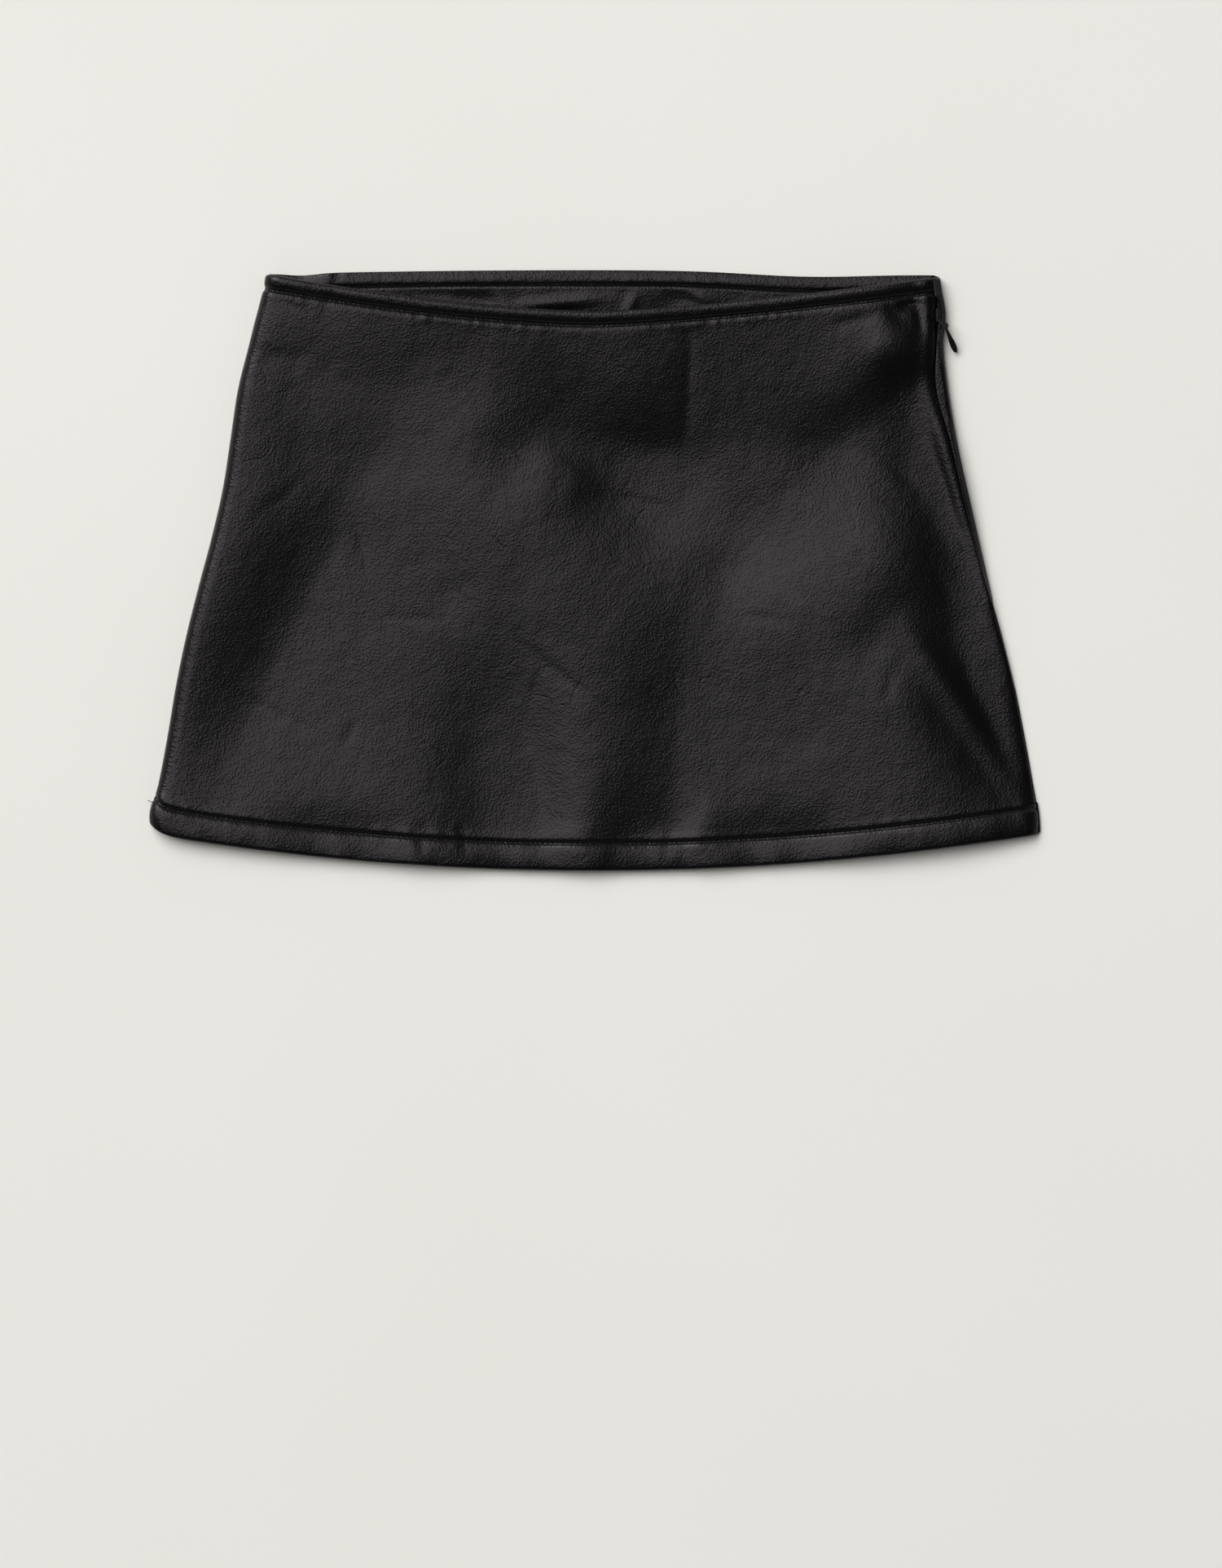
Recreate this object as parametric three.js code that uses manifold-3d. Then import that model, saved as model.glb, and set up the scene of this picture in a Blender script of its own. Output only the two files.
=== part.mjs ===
// An A-line mini skirt of black faux leather, laid flat with its front panel up.
// Millimetres. +Z is up, the waist points to +Y and the side zip is at +X.
// The origin is on the surface that the skirt rests on, under the middle of its outline.
import * as THREE from "three";
import { mergeVertices } from "three/addons/utils/BufferGeometryUtils.js";
import Module from "manifold-3d";

// Cloth
const CLOTH = 1.1; // one layer of the faux leather
const DOUBLE = 2.2; // a turned edge, two layers
const SEAM = 0.3; // space between two pieces at a seam
const WAIST_TURNING = 8.4; // depth of the topstitched edge at the waist
const HEM_TURNING = 15.4; // depth of the turned hem
const WAIST_PUFF = 0.45; // how far the waist edge swells over the panel
const HEM_PUFF = 0.3; // how far the hem swells over the panel
const EDGE_ROUND = 1.2; // depth over which a folded edge rounds over
const EDGE_LEFT = 0.35; // share of the thickness left at the very edge

// Outline
const HEM_LOW = -169.5; // the lowest point of the hem
const HEM_RISE = 20.5; // how far the hem curves up to each side
const HEM_HALF = 250; // half the hem's width
const HEM_CORNER = 5.5; // rounding of the hem's left corner
const FRONT_DIP = 146; // the middle of the front waist
const FRONT_DIP_X = 5;
const FRONT_LEFT = { rise: 21, reach: 188.6, power: 1.6 };
const FRONT_RIGHT = { rise: 19, reach: 187, power: 1.35 };
const BACK_TOP = 169.2; // the middle of the back waist
const BACK_SIDE_DROP = 2.4;
const BACK_DENT = { x: 120, deep: 2.6, wide: 48 }; // a slack stretch of the back waist
const BACK_HEM_INSET = 1.5; // the back hem lies this far behind the front hem

// Side rolls, where the cloth turns over from front to back
const SIDE_ROLL = 9; // width of the roll along a side
const TURN_RADIUS = 3.1; // the back panel's turn beside the zip
const ZIP_EDGE_HEIGHT = 4.2; // where the front's edge ends, beside the zip
const LIP = { at: 6, wide: 5, high: 0.7 }; // the left side stands up a little
const LIP_DIP = { at: 16, wide: 6, high: -0.9 }; // and dips just inside

// One row for each level of the skirt, from the waist down.
// left, right: the side edges. roll: height of the side rolls. loft: how much higher the middle
// stands. seat: height of the left seam. strip: how much of the back panel shows beside the zip,
// negative where its edge is still under the side. gap: space between the zip's two cloth edges.
// ridge: width of the front panel's roll on the zip side.
const LEVELS = [
  { y: 169, left: -183.2, right: 194.4, roll: 5.9, loft: 3.6, seat: 3.6, strip: 3.3, gap: 0.9, ridge: 3.5 },
  { y: 158, left: -186.0, right: 196.2, roll: 6.0, loft: 3.7, seat: 3.6, strip: 3.3, gap: 0.9, ridge: 3.5 },
  { y: 147, left: -189.2, right: 197.4, roll: 6.2, loft: 3.9, seat: 1.6, strip: 2.2, gap: 2.8, ridge: 3.2 },
  { y: 139, left: -191.5, right: 197.3, roll: 6.3, loft: 4.0, seat: 1.5, strip: 2.0, gap: 2.6, ridge: 3.2 },
  { y: 128, left: -194.3, right: 197.0, roll: 6.4, loft: 4.1, seat: 1.5, strip: 3.4, gap: 0.5, ridge: 3.2 },
  { y: 102, left: -200.8, right: 199.9, roll: 6.6, loft: 4.2, seat: 1.5, strip: 6.6, gap: 0.4, ridge: 3.2 },
  { y: 73, left: -205.2, right: 204.8, roll: 6.6, loft: 4.2, seat: 1.5, strip: 3.7, gap: 0.4, ridge: 3.2 },
  { y: 46, left: -209.4, right: 210.2, roll: 6.6, loft: 4.2, seat: 1.5, strip: 2.8, gap: 0.4, ridge: 3.6 },
  { y: 18, left: -215.8, right: 215.8, roll: 6.6, loft: 4.2, seat: 1.5, strip: 1.5, gap: 0.4, ridge: 5.0 },
  { y: -9, left: -223.0, right: 222.0, roll: 6.6, loft: 4.1, seat: 1.5, strip: 0.5, gap: 0.4, ridge: 6.5 },
  { y: -37, left: -230.0, right: 230.2, roll: 6.5, loft: 4.0, seat: 1.5, strip: -1.0, gap: 0.4, ridge: 8.5 },
  { y: -64, left: -235.6, right: 236.5, roll: 6.3, loft: 3.9, seat: 1.7, strip: -2.6, gap: 0.4, ridge: 9.0 },
  { y: -92, left: -240.3, right: 242.0, roll: 6.1, loft: 3.8, seat: 1.8, strip: -3.0, gap: 0.4, ridge: 9.0 },
  { y: -120, left: -245.6, right: 247.0, roll: 5.9, loft: 3.7, seat: 2.9, strip: -3.0, gap: 0.4, ridge: 9.0 },
  { y: -138, left: -250.3, right: 250.0, roll: 5.8, loft: 3.6, seat: 3.3, strip: -3.0, gap: 0.4, ridge: 8.0 },
  { y: -154, left: -249.6, right: 250.6, roll: 5.7, loft: 3.5, seat: 3.3, strip: -3.0, gap: 0.4, ridge: 8.0 },
];

// Soft folds of the front panel, one row each. x, y: the middle. turn: degrees from +X to the
// fold's length. long, wide: half its length and width. high: height, negative for a trough.
// lean: how much steeper the side to the left of its length is, negative for the right side.
const FOLDS = [
  { name: "crease under the waist", x: 39, y: 80, turn: 87, long: 48, wide: 11, high: -1.9, lean: -0.6 },
  { name: "crest beside that crease", x: 54, y: 97, turn: 87, long: 38, wide: 6, high: 0.9, lean: 0.5 },
  { name: "hollow under the waist", x: -5, y: 106, turn: -8, long: 44, wide: 20, high: -1.3, lean: 0 },
  { name: "left diagonal trough", x: -184, y: -20, turn: 63, long: 92, wide: 12, high: -2.0, lean: 0.2 },
  { name: "left hem flute", x: -80, y: -128, turn: 90, long: 56, wide: 14, high: -2.2, lean: -0.3 },
  { name: "middle hem flute", x: 28, y: -140, turn: 88, long: 46, wide: 16, high: -1.9, lean: -0.4 },
  { name: "swell between the flutes", x: -28, y: -128, turn: 90, long: 46, wide: 20, high: 0.7, lean: 0 },
  { name: "upper zip-side trough", x: 192, y: 14, turn: -52, long: 38, wide: 9, high: -1.7, lean: 0.2 },
  { name: "lower zip-side trough", x: 213, y: -62, turn: -60, long: 58, wide: 10, high: -2.4, lean: 0.3 },
  { name: "short zip-side trough", x: 205, y: -100, turn: -58, long: 30, wide: 7, high: -1.0, lean: 0.2 },
  { name: "left diagonal swell", x: -94, y: 37, turn: -51, long: 56, wide: 18, high: 1.1, lean: 0 },
  { name: "middle swell", x: -4, y: 55, turn: -20, long: 28, wide: 12, high: 0.9, lean: 0 },
  { name: "right swell", x: 112, y: -85, turn: 80, long: 50, wide: 28, high: 0.8, lean: 0 },
  { name: "right hollow", x: 150, y: 0, turn: 60, long: 36, wide: 18, high: -1.2, lean: 0 },
  { name: "hollow over the right hem", x: 112, y: -139, turn: 7, long: 34, wide: 8, high: -0.9, lean: 0 },
  { name: "hollow over the left hem", x: -138, y: -136, turn: -7, long: 24, wide: 7, high: -0.8, lean: 0 },
  { name: "upper right hollow", x: 150, y: 98, turn: 42, long: 27, wide: 10, high: -1.1, lean: 0 },
  { name: "swell under the right waist", x: 173, y: 119, turn: 75, long: 15, wide: 9, high: 0.8, lean: 0 },
  { name: "trough beside the zip", x: 184, y: 105, turn: -79, long: 28, wide: 4.5, high: -1.0, lean: 0 },
  { name: "dent in the left side", x: -177, y: 124, turn: -4, long: 12, wide: 4.5, high: -0.9, lean: 0 },
];

// Zip
const ZIP_TOP = 155;
const ZIP_BOTTOM = 10;
const TAPE = { low: 2.7, high: 3.5, wide: 6.5, lap: 0.16, spread: 0.3 };
const TAPE_WALL_CLEAR = 1.65; // from the back panel's side to the tape inside it
const ZIP_FROM_SIDE = 3.9; // the chain's middle stays this far inside the side
const CHAIN = { low: 1.5, high: 2.4, wide: 2.6, top: 138.6 };
const SLIDER = { x: 193.5, y: 143.6, long: 7.6 };
const SLIDER_LOWER = { low: 1.6, high: 2.4, wide: 2.2 };
const SLIDER_SPINE = { low: 2.2, high: 4.6, wide: 0.8 };
const SLIDER_UPPER = { low: 4.2, high: 5.9, wide: 1.6 };
const BRIDGE = { start: { x: 193.6, y: 141.0 }, turn: -39, long: 5.4, wide: 1.3, high: 8.7, under: 7.8 };
const PIN = { radius: 0.6, low: 5.9, flange: 1.3, flangeHigh: 6.4 };
const EYE = { inner: 1.0, outer: 1.9, low: 6.85, thick: 0.65 };
const TAB = { turn: -66.6, droop: 20.5, neckAt: 1.75, neck: 0.5, wideAt: 11.8, wide: 1.6, long: 17.4, thick: 1.0 };

// Fineness
const ROLL_STEPS = 5;
const FRONT_STEPS = 40;
const FRONT_ROWS = 26;
const BACK_STEPS = 22;
const TURN_STEPS = 8;
const BACK_ROWS = 26;
const ZIP_ROWS = 20;

const rad = THREE.MathUtils.degToRad;
const mix = THREE.MathUtils.lerp;
const clamp01 = (v) => THREE.MathUtils.clamp(v, 0, 1);

// A column of LEVELS at height y, on a smooth curve through its rows.
function level(y, key) {
  const last = LEVELS.length - 1;
  let i = 0;
  while (i < last - 1 && y < LEVELS[i + 1].y) i++;
  const slope = (k) => {
    const a = LEVELS[Math.max(k - 1, 0)];
    const b = LEVELS[Math.min(k + 1, last)];
    return (b[key] - a[key]) / (b.y - a.y);
  };
  const [p, q] = [LEVELS[i], LEVELS[i + 1]];
  const span = q.y - p.y;
  const t = clamp01((y - p.y) / span);
  const [t2, t3] = [t * t, t * t * t];
  return (
    (2 * t3 - 3 * t2 + 1) * p[key] +
    (t3 - 2 * t2 + t) * span * slope(i) +
    (3 * t2 - 2 * t3) * q[key] +
    (t3 - t2) * span * slope(i + 1)
  );
}

// Waist and hem lines, seen from above
function frontWaistY(x) {
  const side = x < FRONT_DIP_X ? FRONT_LEFT : FRONT_RIGHT;
  return FRONT_DIP + side.rise * Math.pow(Math.abs(x - FRONT_DIP_X) / side.reach, side.power);
}

function backWaistY(x) {
  const dent = BACK_DENT.deep * Math.exp(-(((x - BACK_DENT.x) / BACK_DENT.wide) ** 2));
  return BACK_TOP - BACK_SIDE_DROP * ((x + FRONT_DIP_X) / FRONT_LEFT.reach) ** 2 - dent;
}

function hemY(x) {
  const corner = HEM_CORNER * Math.exp(-(x + HEM_HALF) / HEM_CORNER);
  return HEM_LOW + HEM_RISE * (x / HEM_HALF) ** 2 + Math.min(corner, HEM_CORNER);
}

// The back panel's turn beside the zip: how far round it goes, in radians, and how far it then
// runs straight on.
function backTurn(y) {
  const strip = level(y, "strip");
  if (strip >= TURN_RADIUS) return { angle: Math.PI, run: strip - TURN_RADIUS };
  if (strip > 0) return { angle: Math.PI - Math.asin(1 - strip / TURN_RADIUS), run: 0 };
  const angle = (Math.PI / 2) * clamp01(1 + strip / 3);
  return { angle, run: TURN_RADIUS * (1 - Math.sin(angle)) };
}

// Where the back panel's edge ends beside the zip, on its outer face
function backEdge(y) {
  const { angle, run } = backTurn(y);
  const middle = level(y, "right") - TURN_RADIUS;
  return middle + TURN_RADIUS * Math.sin(angle) + run * Math.cos(angle);
}

// Where the front panel ends on the zip side: its x, and the height of its lower edge
function frontEdge(y) {
  const { angle, run } = backTurn(y);
  const right = level(y, "right");
  const share = angle / (Math.PI / 2);
  if (share <= 1) {
    const rise = TURN_RADIUS * (1 - Math.cos(angle)) + run * Math.sin(angle);
    const seat = level(y, "seat") - LEVELS[6].seat;
    return { x: right - 1.5 * share ** 2, z: rise + CLOTH * Math.cos(angle) + 0.5 + seat };
  }
  const x = backEdge(y) - CLOTH * Math.sin(angle) - level(y, "gap");
  return { x, z: mix(TURN_RADIUS + 0.5, ZIP_EDGE_HEIGHT, share - 1) };
}

// Height that the folds add to the front panel
function foldHeight(x, y) {
  let height = 0;
  for (const fold of FOLDS) {
    const [c, s] = [Math.cos(rad(fold.turn)), Math.sin(rad(fold.turn))];
    const along = ((x - fold.x) * c + (y - fold.y) * s) / fold.long;
    let across = ((y - fold.y) * c - (x - fold.x) * s) / fold.wide;
    across *= 1 + fold.lean * Math.tanh(across);
    height += fold.high * Math.exp(-(Math.abs(along) ** 3 + across ** 2));
  }
  return height;
}

const bump = (d, form) => form.high * Math.exp(-(((d - form.at) / form.wide) ** 2));

// How far a quarter round of that width has risen at distance d from its foot, from 0 to 1
const rounded = (d, width) => Math.sqrt(1 - (1 - clamp01(d / width)) ** 2);

// A point of the front panel's outer face. f runs from 0 at the left edge to 1 at the zip side,
// and t from 0 at the waist to 1 at the hem.
function frontPoint(f, t) {
  const top = frontWaistY(mix(LEVELS[0].left, frontEdge(160).x, f));
  const bottom = hemY(mix(-HEM_HALF, HEM_HALF, f));
  const y = mix(top, bottom, t);
  const left = level(y, "left");
  const edge = frontEdge(y);
  const x = mix(left, edge.x, f);
  const nearness = 1 - Math.abs(2 * f - 1);
  const loft = level(y, "loft") * Math.sin((Math.PI / 2) * clamp01(nearness / 0.45));
  const fromLeft = x - left;
  const height =
    level(y, "roll") + loft + foldHeight(x, y) + bump(fromLeft, LIP) + bump(fromLeft, LIP_DIP);
  const leftFall = 1 - rounded(fromLeft, SIDE_ROLL);
  const rightFall = 1 - rounded(edge.x - x, level(y, "ridge"));
  const z = height + (level(y, "seat") - height) * leftFall + (edge.z - height) * rightFall;
  return new THREE.Vector3(x, y, z);
}

// Length of the front panel along a column, from waist to hem
function frontLength(f) {
  return frontPoint(f, 0).y - frontPoint(f, 1).y;
}

// The outward normal of the front panel
function frontNormal(f, t) {
  const step = 1e-4;
  const across = frontPoint(Math.min(f + step, 1), t).sub(frontPoint(Math.max(f - step, 0), t));
  const down = frontPoint(f, t + step).sub(frontPoint(f, t - step));
  return down.cross(across).normalize();
}

// A point of the front, moved out from its outer face. depth is in mm down from the waist.
function frontAt(f, depth, out) {
  const t = depth / frontLength(f);
  return frontPoint(f, t).addScaledVector(frontNormal(f, t), out);
}

// A point of the back, moved in from its outer face. g runs from 0 at the left edge to 1 at the
// end of the turn beside the zip; depth is in mm down from the waist.
function backAt(g, depth, inwards) {
  const flatShare = BACK_STEPS / (BACK_STEPS + TURN_STEPS);
  const onFlat = Math.min(g / flatShare, 1);
  const onTurn = clamp01((g - flatShare) / (1 - flatShare));
  const top = backWaistY(mix(LEVELS[0].left, LEVELS[0].right - TURN_RADIUS, onFlat)) - 2.5 * onTurn;
  const y = top - depth;
  const left = level(y, "left");
  const flatEnd = level(y, "right") - TURN_RADIUS;
  const { angle, run } = backTurn(y);
  const path = onTurn * (angle * TURN_RADIUS + run);
  const turned = Math.min(path / TURN_RADIUS, angle);
  const straight = Math.max(path - angle * TURN_RADIUS, 0);
  const reach = TURN_RADIUS - inwards;
  const x =
    onTurn > 0
      ? flatEnd + reach * Math.sin(turned) + straight * Math.cos(turned)
      : mix(left, flatEnd, onFlat);
  const z = onTurn > 0 ? TURN_RADIUS - reach * Math.cos(turned) + straight * Math.sin(turned) : inwards;
  return new THREE.Vector3(x, y, z);
}

// Length of the back panel along a column
function backLength(g) {
  const flatShare = BACK_STEPS / (BACK_STEPS + TURN_STEPS);
  const across = Math.min(g / flatShare, 1);
  const top = backAt(g, 0, 0).y;
  return top - hemY(mix(-HEM_HALF, HEM_HALF, across)) - BACK_HEM_INSET;
}

// Fractions across the front: close together over each side roll, even between
function frontColumns() {
  const roll = 0.022;
  const quarter = (i) => roll * (1 - Math.cos((Math.PI / 2) * (i / ROLL_STEPS)));
  const left = Array.from({ length: ROLL_STEPS }, (_, i) => quarter(i));
  const middle = Array.from({ length: FRONT_STEPS + 1 }, (_, i) => mix(roll, 1 - roll, i / FRONT_STEPS));
  const right = left.map((f) => 1 - f).reverse();
  return [...left, ...middle, ...right];
}

const even = (count, from = 0, to = 1) =>
  Array.from({ length: count + 1 }, (_, i) => mix(from, to, i / count));

// Rows of a panel, closer together towards the waist and the top of the zip
const panelRows = (count) => even(count).map((r) => Math.pow(r, 1.25));

// A closed wall between two grids of points and its four rims. The first grid faces away from
// the second. columns and rows hold the values handed to each grid's function.
function wall(columns, rows, first, second) {
  const [lastColumn, lastRow] = [columns.length - 1, rows.length - 1];
  const points = [first, second].flatMap((grid) => columns.flatMap((c) => rows.map((r) => grid(c, r))));
  const index = (side, i, j) => side * columns.length * rows.length + i * rows.length + j;
  const triangles = [];
  const quad = (a, b, c, d) => triangles.push(a, b, c, a, c, d);
  for (let i = 0; i < lastColumn; i++) {
    for (let j = 0; j < lastRow; j++) {
      quad(index(0, i, j), index(0, i, j + 1), index(0, i + 1, j + 1), index(0, i + 1, j));
      quad(index(1, i, j), index(1, i + 1, j), index(1, i + 1, j + 1), index(1, i, j + 1));
    }
    quad(index(0, i, 0), index(0, i + 1, 0), index(1, i + 1, 0), index(1, i, 0));
    quad(index(0, i + 1, lastRow), index(0, i, lastRow), index(1, i, lastRow), index(1, i + 1, lastRow));
  }
  for (let j = 0; j < lastRow; j++) {
    quad(index(0, 0, j + 1), index(0, 0, j), index(1, 0, j), index(1, 0, j + 1));
    quad(index(0, lastColumn, j), index(0, lastColumn, j + 1), index(1, lastColumn, j + 1), index(1, lastColumn, j));
  }
  const geometry = new THREE.BufferGeometry().setFromPoints(points);
  geometry.setIndex(triangles);
  geometry.computeVertexNormals();
  return geometry;
}

// Share of a turned edge's thickness at that distance from its fold
const foldShare = (distance) => Math.max(EDGE_LEFT, rounded(distance, EDGE_ROUND));

// Materials
const leather = new THREE.MeshStandardMaterial({ color: 0x1c1b1d, roughness: 0.48, metalness: 0 });
const facingLeather = new THREE.MeshStandardMaterial({ color: 0x1e1d1f, roughness: 0.5, metalness: 0 });
const tapeCloth = new THREE.MeshStandardMaterial({ color: 0x121213, roughness: 0.85, metalness: 0 });
const zipEnamel = new THREE.MeshStandardMaterial({ color: 0x151310, roughness: 0.35, metalness: 0.5 });

const skirt = new THREE.Group();

function add(name, geometry, material) {
  const mesh = new THREE.Mesh(geometry, material);
  mesh.name = name;
  skirt.add(mesh);
  return mesh;
}

// Front panel, from under the waist edge to the hem's stitch line
function frontPanel() {
  const start = WAIST_TURNING + SEAM;
  const depth = (f, r) => mix(start, frontLength(f) - HEM_TURNING - SEAM, r);
  return wall(
    frontColumns(),
    panelRows(FRONT_ROWS),
    (f, r) => frontAt(f, depth(f, r), 0),
    (f, r) => frontAt(f, depth(f, r), -CLOTH),
  );
}

// The turned waist edge of the front: two layers, swelling between its fold and its stitching
function frontWaistEdge() {
  const depths = [0, 0.35, 1.2, 3.2, 5.4, 7.4, WAIST_TURNING];
  const swell = (d) => WAIST_PUFF * Math.sin((Math.PI * d) / WAIST_TURNING);
  return wall(
    frontColumns(),
    depths,
    (f, d) => frontAt(f, d, -DOUBLE / 2 + (DOUBLE / 2 + swell(d)) * foldShare(d)),
    (f, d) => frontAt(f, d, -DOUBLE / 2 - (DOUBLE / 2) * foldShare(d)),
  );
}

// The turned hem of the front
function frontHem() {
  const fromFold = [HEM_TURNING, 14, 10, 6, 2.8, 1.2, 0.35, 0];
  const swell = (d) => HEM_PUFF * Math.sin((Math.PI * d) / HEM_TURNING);
  return wall(
    frontColumns(),
    fromFold,
    (f, d) => frontAt(f, frontLength(f) - d, -DOUBLE / 2 + (DOUBLE / 2 + swell(d)) * foldShare(d)),
    (f, d) => frontAt(f, frontLength(f) - d, -DOUBLE / 2 - (DOUBLE / 2) * foldShare(d)),
  );
}

// Back panel: flat on the surface, and turned up and over beside the zip
function backPanel() {
  const start = WAIST_TURNING + SEAM;
  const depth = (g, r) => mix(start, backLength(g) - HEM_TURNING - SEAM, r);
  return wall(
    even(BACK_STEPS + TURN_STEPS),
    panelRows(BACK_ROWS),
    (g, r) => backAt(g, depth(g, r), CLOTH),
    (g, r) => backAt(g, depth(g, r), 0),
  );
}

// The turned waist edge of the back, which swells on the side that shows inside the waist
function backWaistEdge() {
  const depths = [0, 0.4, 1.3, 3.2, 5.4, 7.4, WAIST_TURNING];
  const swell = (d) => WAIST_PUFF * Math.sin((Math.PI * d) / WAIST_TURNING);
  return wall(
    even(BACK_STEPS + TURN_STEPS),
    depths,
    (g, d) => backAt(g, d, (DOUBLE + swell(d)) * foldShare(d)),
    (g, d) => backAt(g, d, 0),
  );
}

// The turned hem of the back
function backHem() {
  const fromFold = [HEM_TURNING, 8, 1.3, 0.4, 0];
  return wall(
    even(BACK_STEPS + TURN_STEPS),
    fromFold,
    (g, d) => backAt(g, backLength(g) - d, DOUBLE * foldShare(d)),
    (g, d) => backAt(g, backLength(g) - d, 0),
  );
}

// The facing inside the back waist, lying on the back panel
function backFacing() {
  const [nearLeft, nearZip, deep] = [0.016, 0.66, 42];
  return wall(
    even(24, nearLeft, nearZip),
    even(4, WAIST_TURNING + SEAM + 0.1, deep),
    (g, d) => backAt(g, d, CLOTH + SEAM + 0.9),
    (g, d) => backAt(g, d, CLOTH + SEAM),
  );
}

// The line that the zip's teeth follow
function zipMiddle(y) {
  return Math.min((frontEdge(y).x + backEdge(y)) / 2, level(y, "right") - ZIP_FROM_SIDE);
}

// A flat strip along the zip. sides gives its left and right x at height y.
function zipStrip(top, bottom, low, high, sides) {
  const point = (z) => (side, y) => new THREE.Vector3(sides(y)[side], y, z);
  return wall([0, 1], even(ZIP_ROWS, top, bottom), point(high), point(low));
}

function tapeGap(y) {
  return TAPE.lap + TAPE.spread * (level(y, "gap") - 0.4);
}

function frontTape() {
  return zipStrip(ZIP_TOP, ZIP_BOTTOM, TAPE.low, TAPE.high, (y) => {
    const inner = zipMiddle(y) - tapeGap(y);
    return [inner - TAPE.wide, inner];
  });
}

function backTape() {
  return zipStrip(ZIP_TOP, ZIP_BOTTOM, TAPE.low, TAPE.high, (y) => [
    zipMiddle(y) + tapeGap(y),
    level(y, "right") - TAPE_WALL_CLEAR,
  ]);
}

function zipChain() {
  return zipStrip(CHAIN.top, ZIP_BOTTOM, CHAIN.low, CHAIN.high, (y) => [
    zipMiddle(y) - CHAIN.wide / 2,
    zipMiddle(y) + CHAIN.wide / 2,
  ]);
}

// Joining solids
const wasm = await Module();
wasm.setup();

function solid(geometry) {
  const bare = geometry.clone();
  bare.deleteAttribute("normal");
  bare.deleteAttribute("uv");
  const merged = mergeVertices(bare, 1e-4);
  const mesh = new wasm.Mesh({
    numProp: 3,
    vertProperties: merged.attributes.position.array,
    triVerts: new Uint32Array(merged.index.array),
  });
  return new wasm.Manifold(mesh);
}

function joined(geometries) {
  const whole = geometries.map(solid).reduce((a, b) => a.add(b));
  const mesh = whole.getMesh();
  const geometry = new THREE.BufferGeometry();
  geometry.setAttribute("position", new THREE.BufferAttribute(mesh.vertProperties, 3));
  geometry.setIndex(new THREE.BufferAttribute(mesh.triVerts, 1));
  geometry.computeVertexNormals();
  return geometry;
}

// A plate with rounded ends along Y, from low to high
function plate(wide, long, low, high) {
  const shape = new THREE.Shape();
  const [radius, straight] = [wide / 2, long / 2 - wide / 2];
  shape.absarc(0, straight, radius, 0, Math.PI);
  shape.absarc(0, -straight, radius, Math.PI, 2 * Math.PI);
  shape.closePath();
  const geometry = new THREE.ExtrudeGeometry(shape, {
    depth: high - low,
    bevelEnabled: false,
    curveSegments: 6,
  });
  return geometry.translate(0, 0, low);
}

// A round post along Z
function post(radius, low, high) {
  return new THREE.CylinderGeometry(radius, radius, high - low, 16)
    .rotateX(Math.PI / 2)
    .translate(0, 0, (low + high) / 2);
}

// Slider: a plate on each side of the tapes, the web that joins them, and the bridge with its pin
function zipSlider() {
  const body = [SLIDER_LOWER, SLIDER_UPPER, SLIDER_SPINE].map((part) => {
    const long = part === SLIDER_SPINE ? SLIDER.long * 0.5 : SLIDER.long;
    return plate(part.wide, long, part.low, part.high).translate(SLIDER.x, SLIDER.y, 0);
  });
  const rim = BRIDGE.high - BRIDGE.under;
  const profile = new THREE.Shape()
    .moveTo(-0.6, 5)
    .lineTo(0.6, 5)
    .lineTo(0.6, BRIDGE.under - rim)
    .lineTo(rim, BRIDGE.under)
    .lineTo(BRIDGE.long, BRIDGE.under)
    .lineTo(BRIDGE.long, BRIDGE.high)
    .lineTo(0, BRIDGE.high)
    .lineTo(-0.6, BRIDGE.under)
    .closePath();
  const arm = new THREE.ExtrudeGeometry(profile, { depth: BRIDGE.wide, bevelEnabled: false })
    .translate(0, 0, -BRIDGE.wide / 2)
    .rotateX(Math.PI / 2);
  const end = [
    post(PIN.radius, PIN.low, BRIDGE.high - 0.1),
    post(PIN.flange, PIN.low, PIN.flangeHigh),
    post(BRIDGE.wide * 0.8, BRIDGE.under, BRIDGE.high),
  ].map((part) => part.translate(BRIDGE.long, 0, 0));
  const bridge = [arm, ...end].map((part) =>
    part.rotateZ(rad(BRIDGE.turn)).translate(BRIDGE.start.x, BRIDGE.start.y, 0),
  );
  return joined([...body, ...bridge]);
}

// Where the bridge holds the pull tab
function pinPlace() {
  return {
    x: BRIDGE.start.x + BRIDGE.long * Math.cos(rad(BRIDGE.turn)),
    y: BRIDGE.start.y + BRIDGE.long * Math.sin(rad(BRIDGE.turn)),
  };
}

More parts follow.
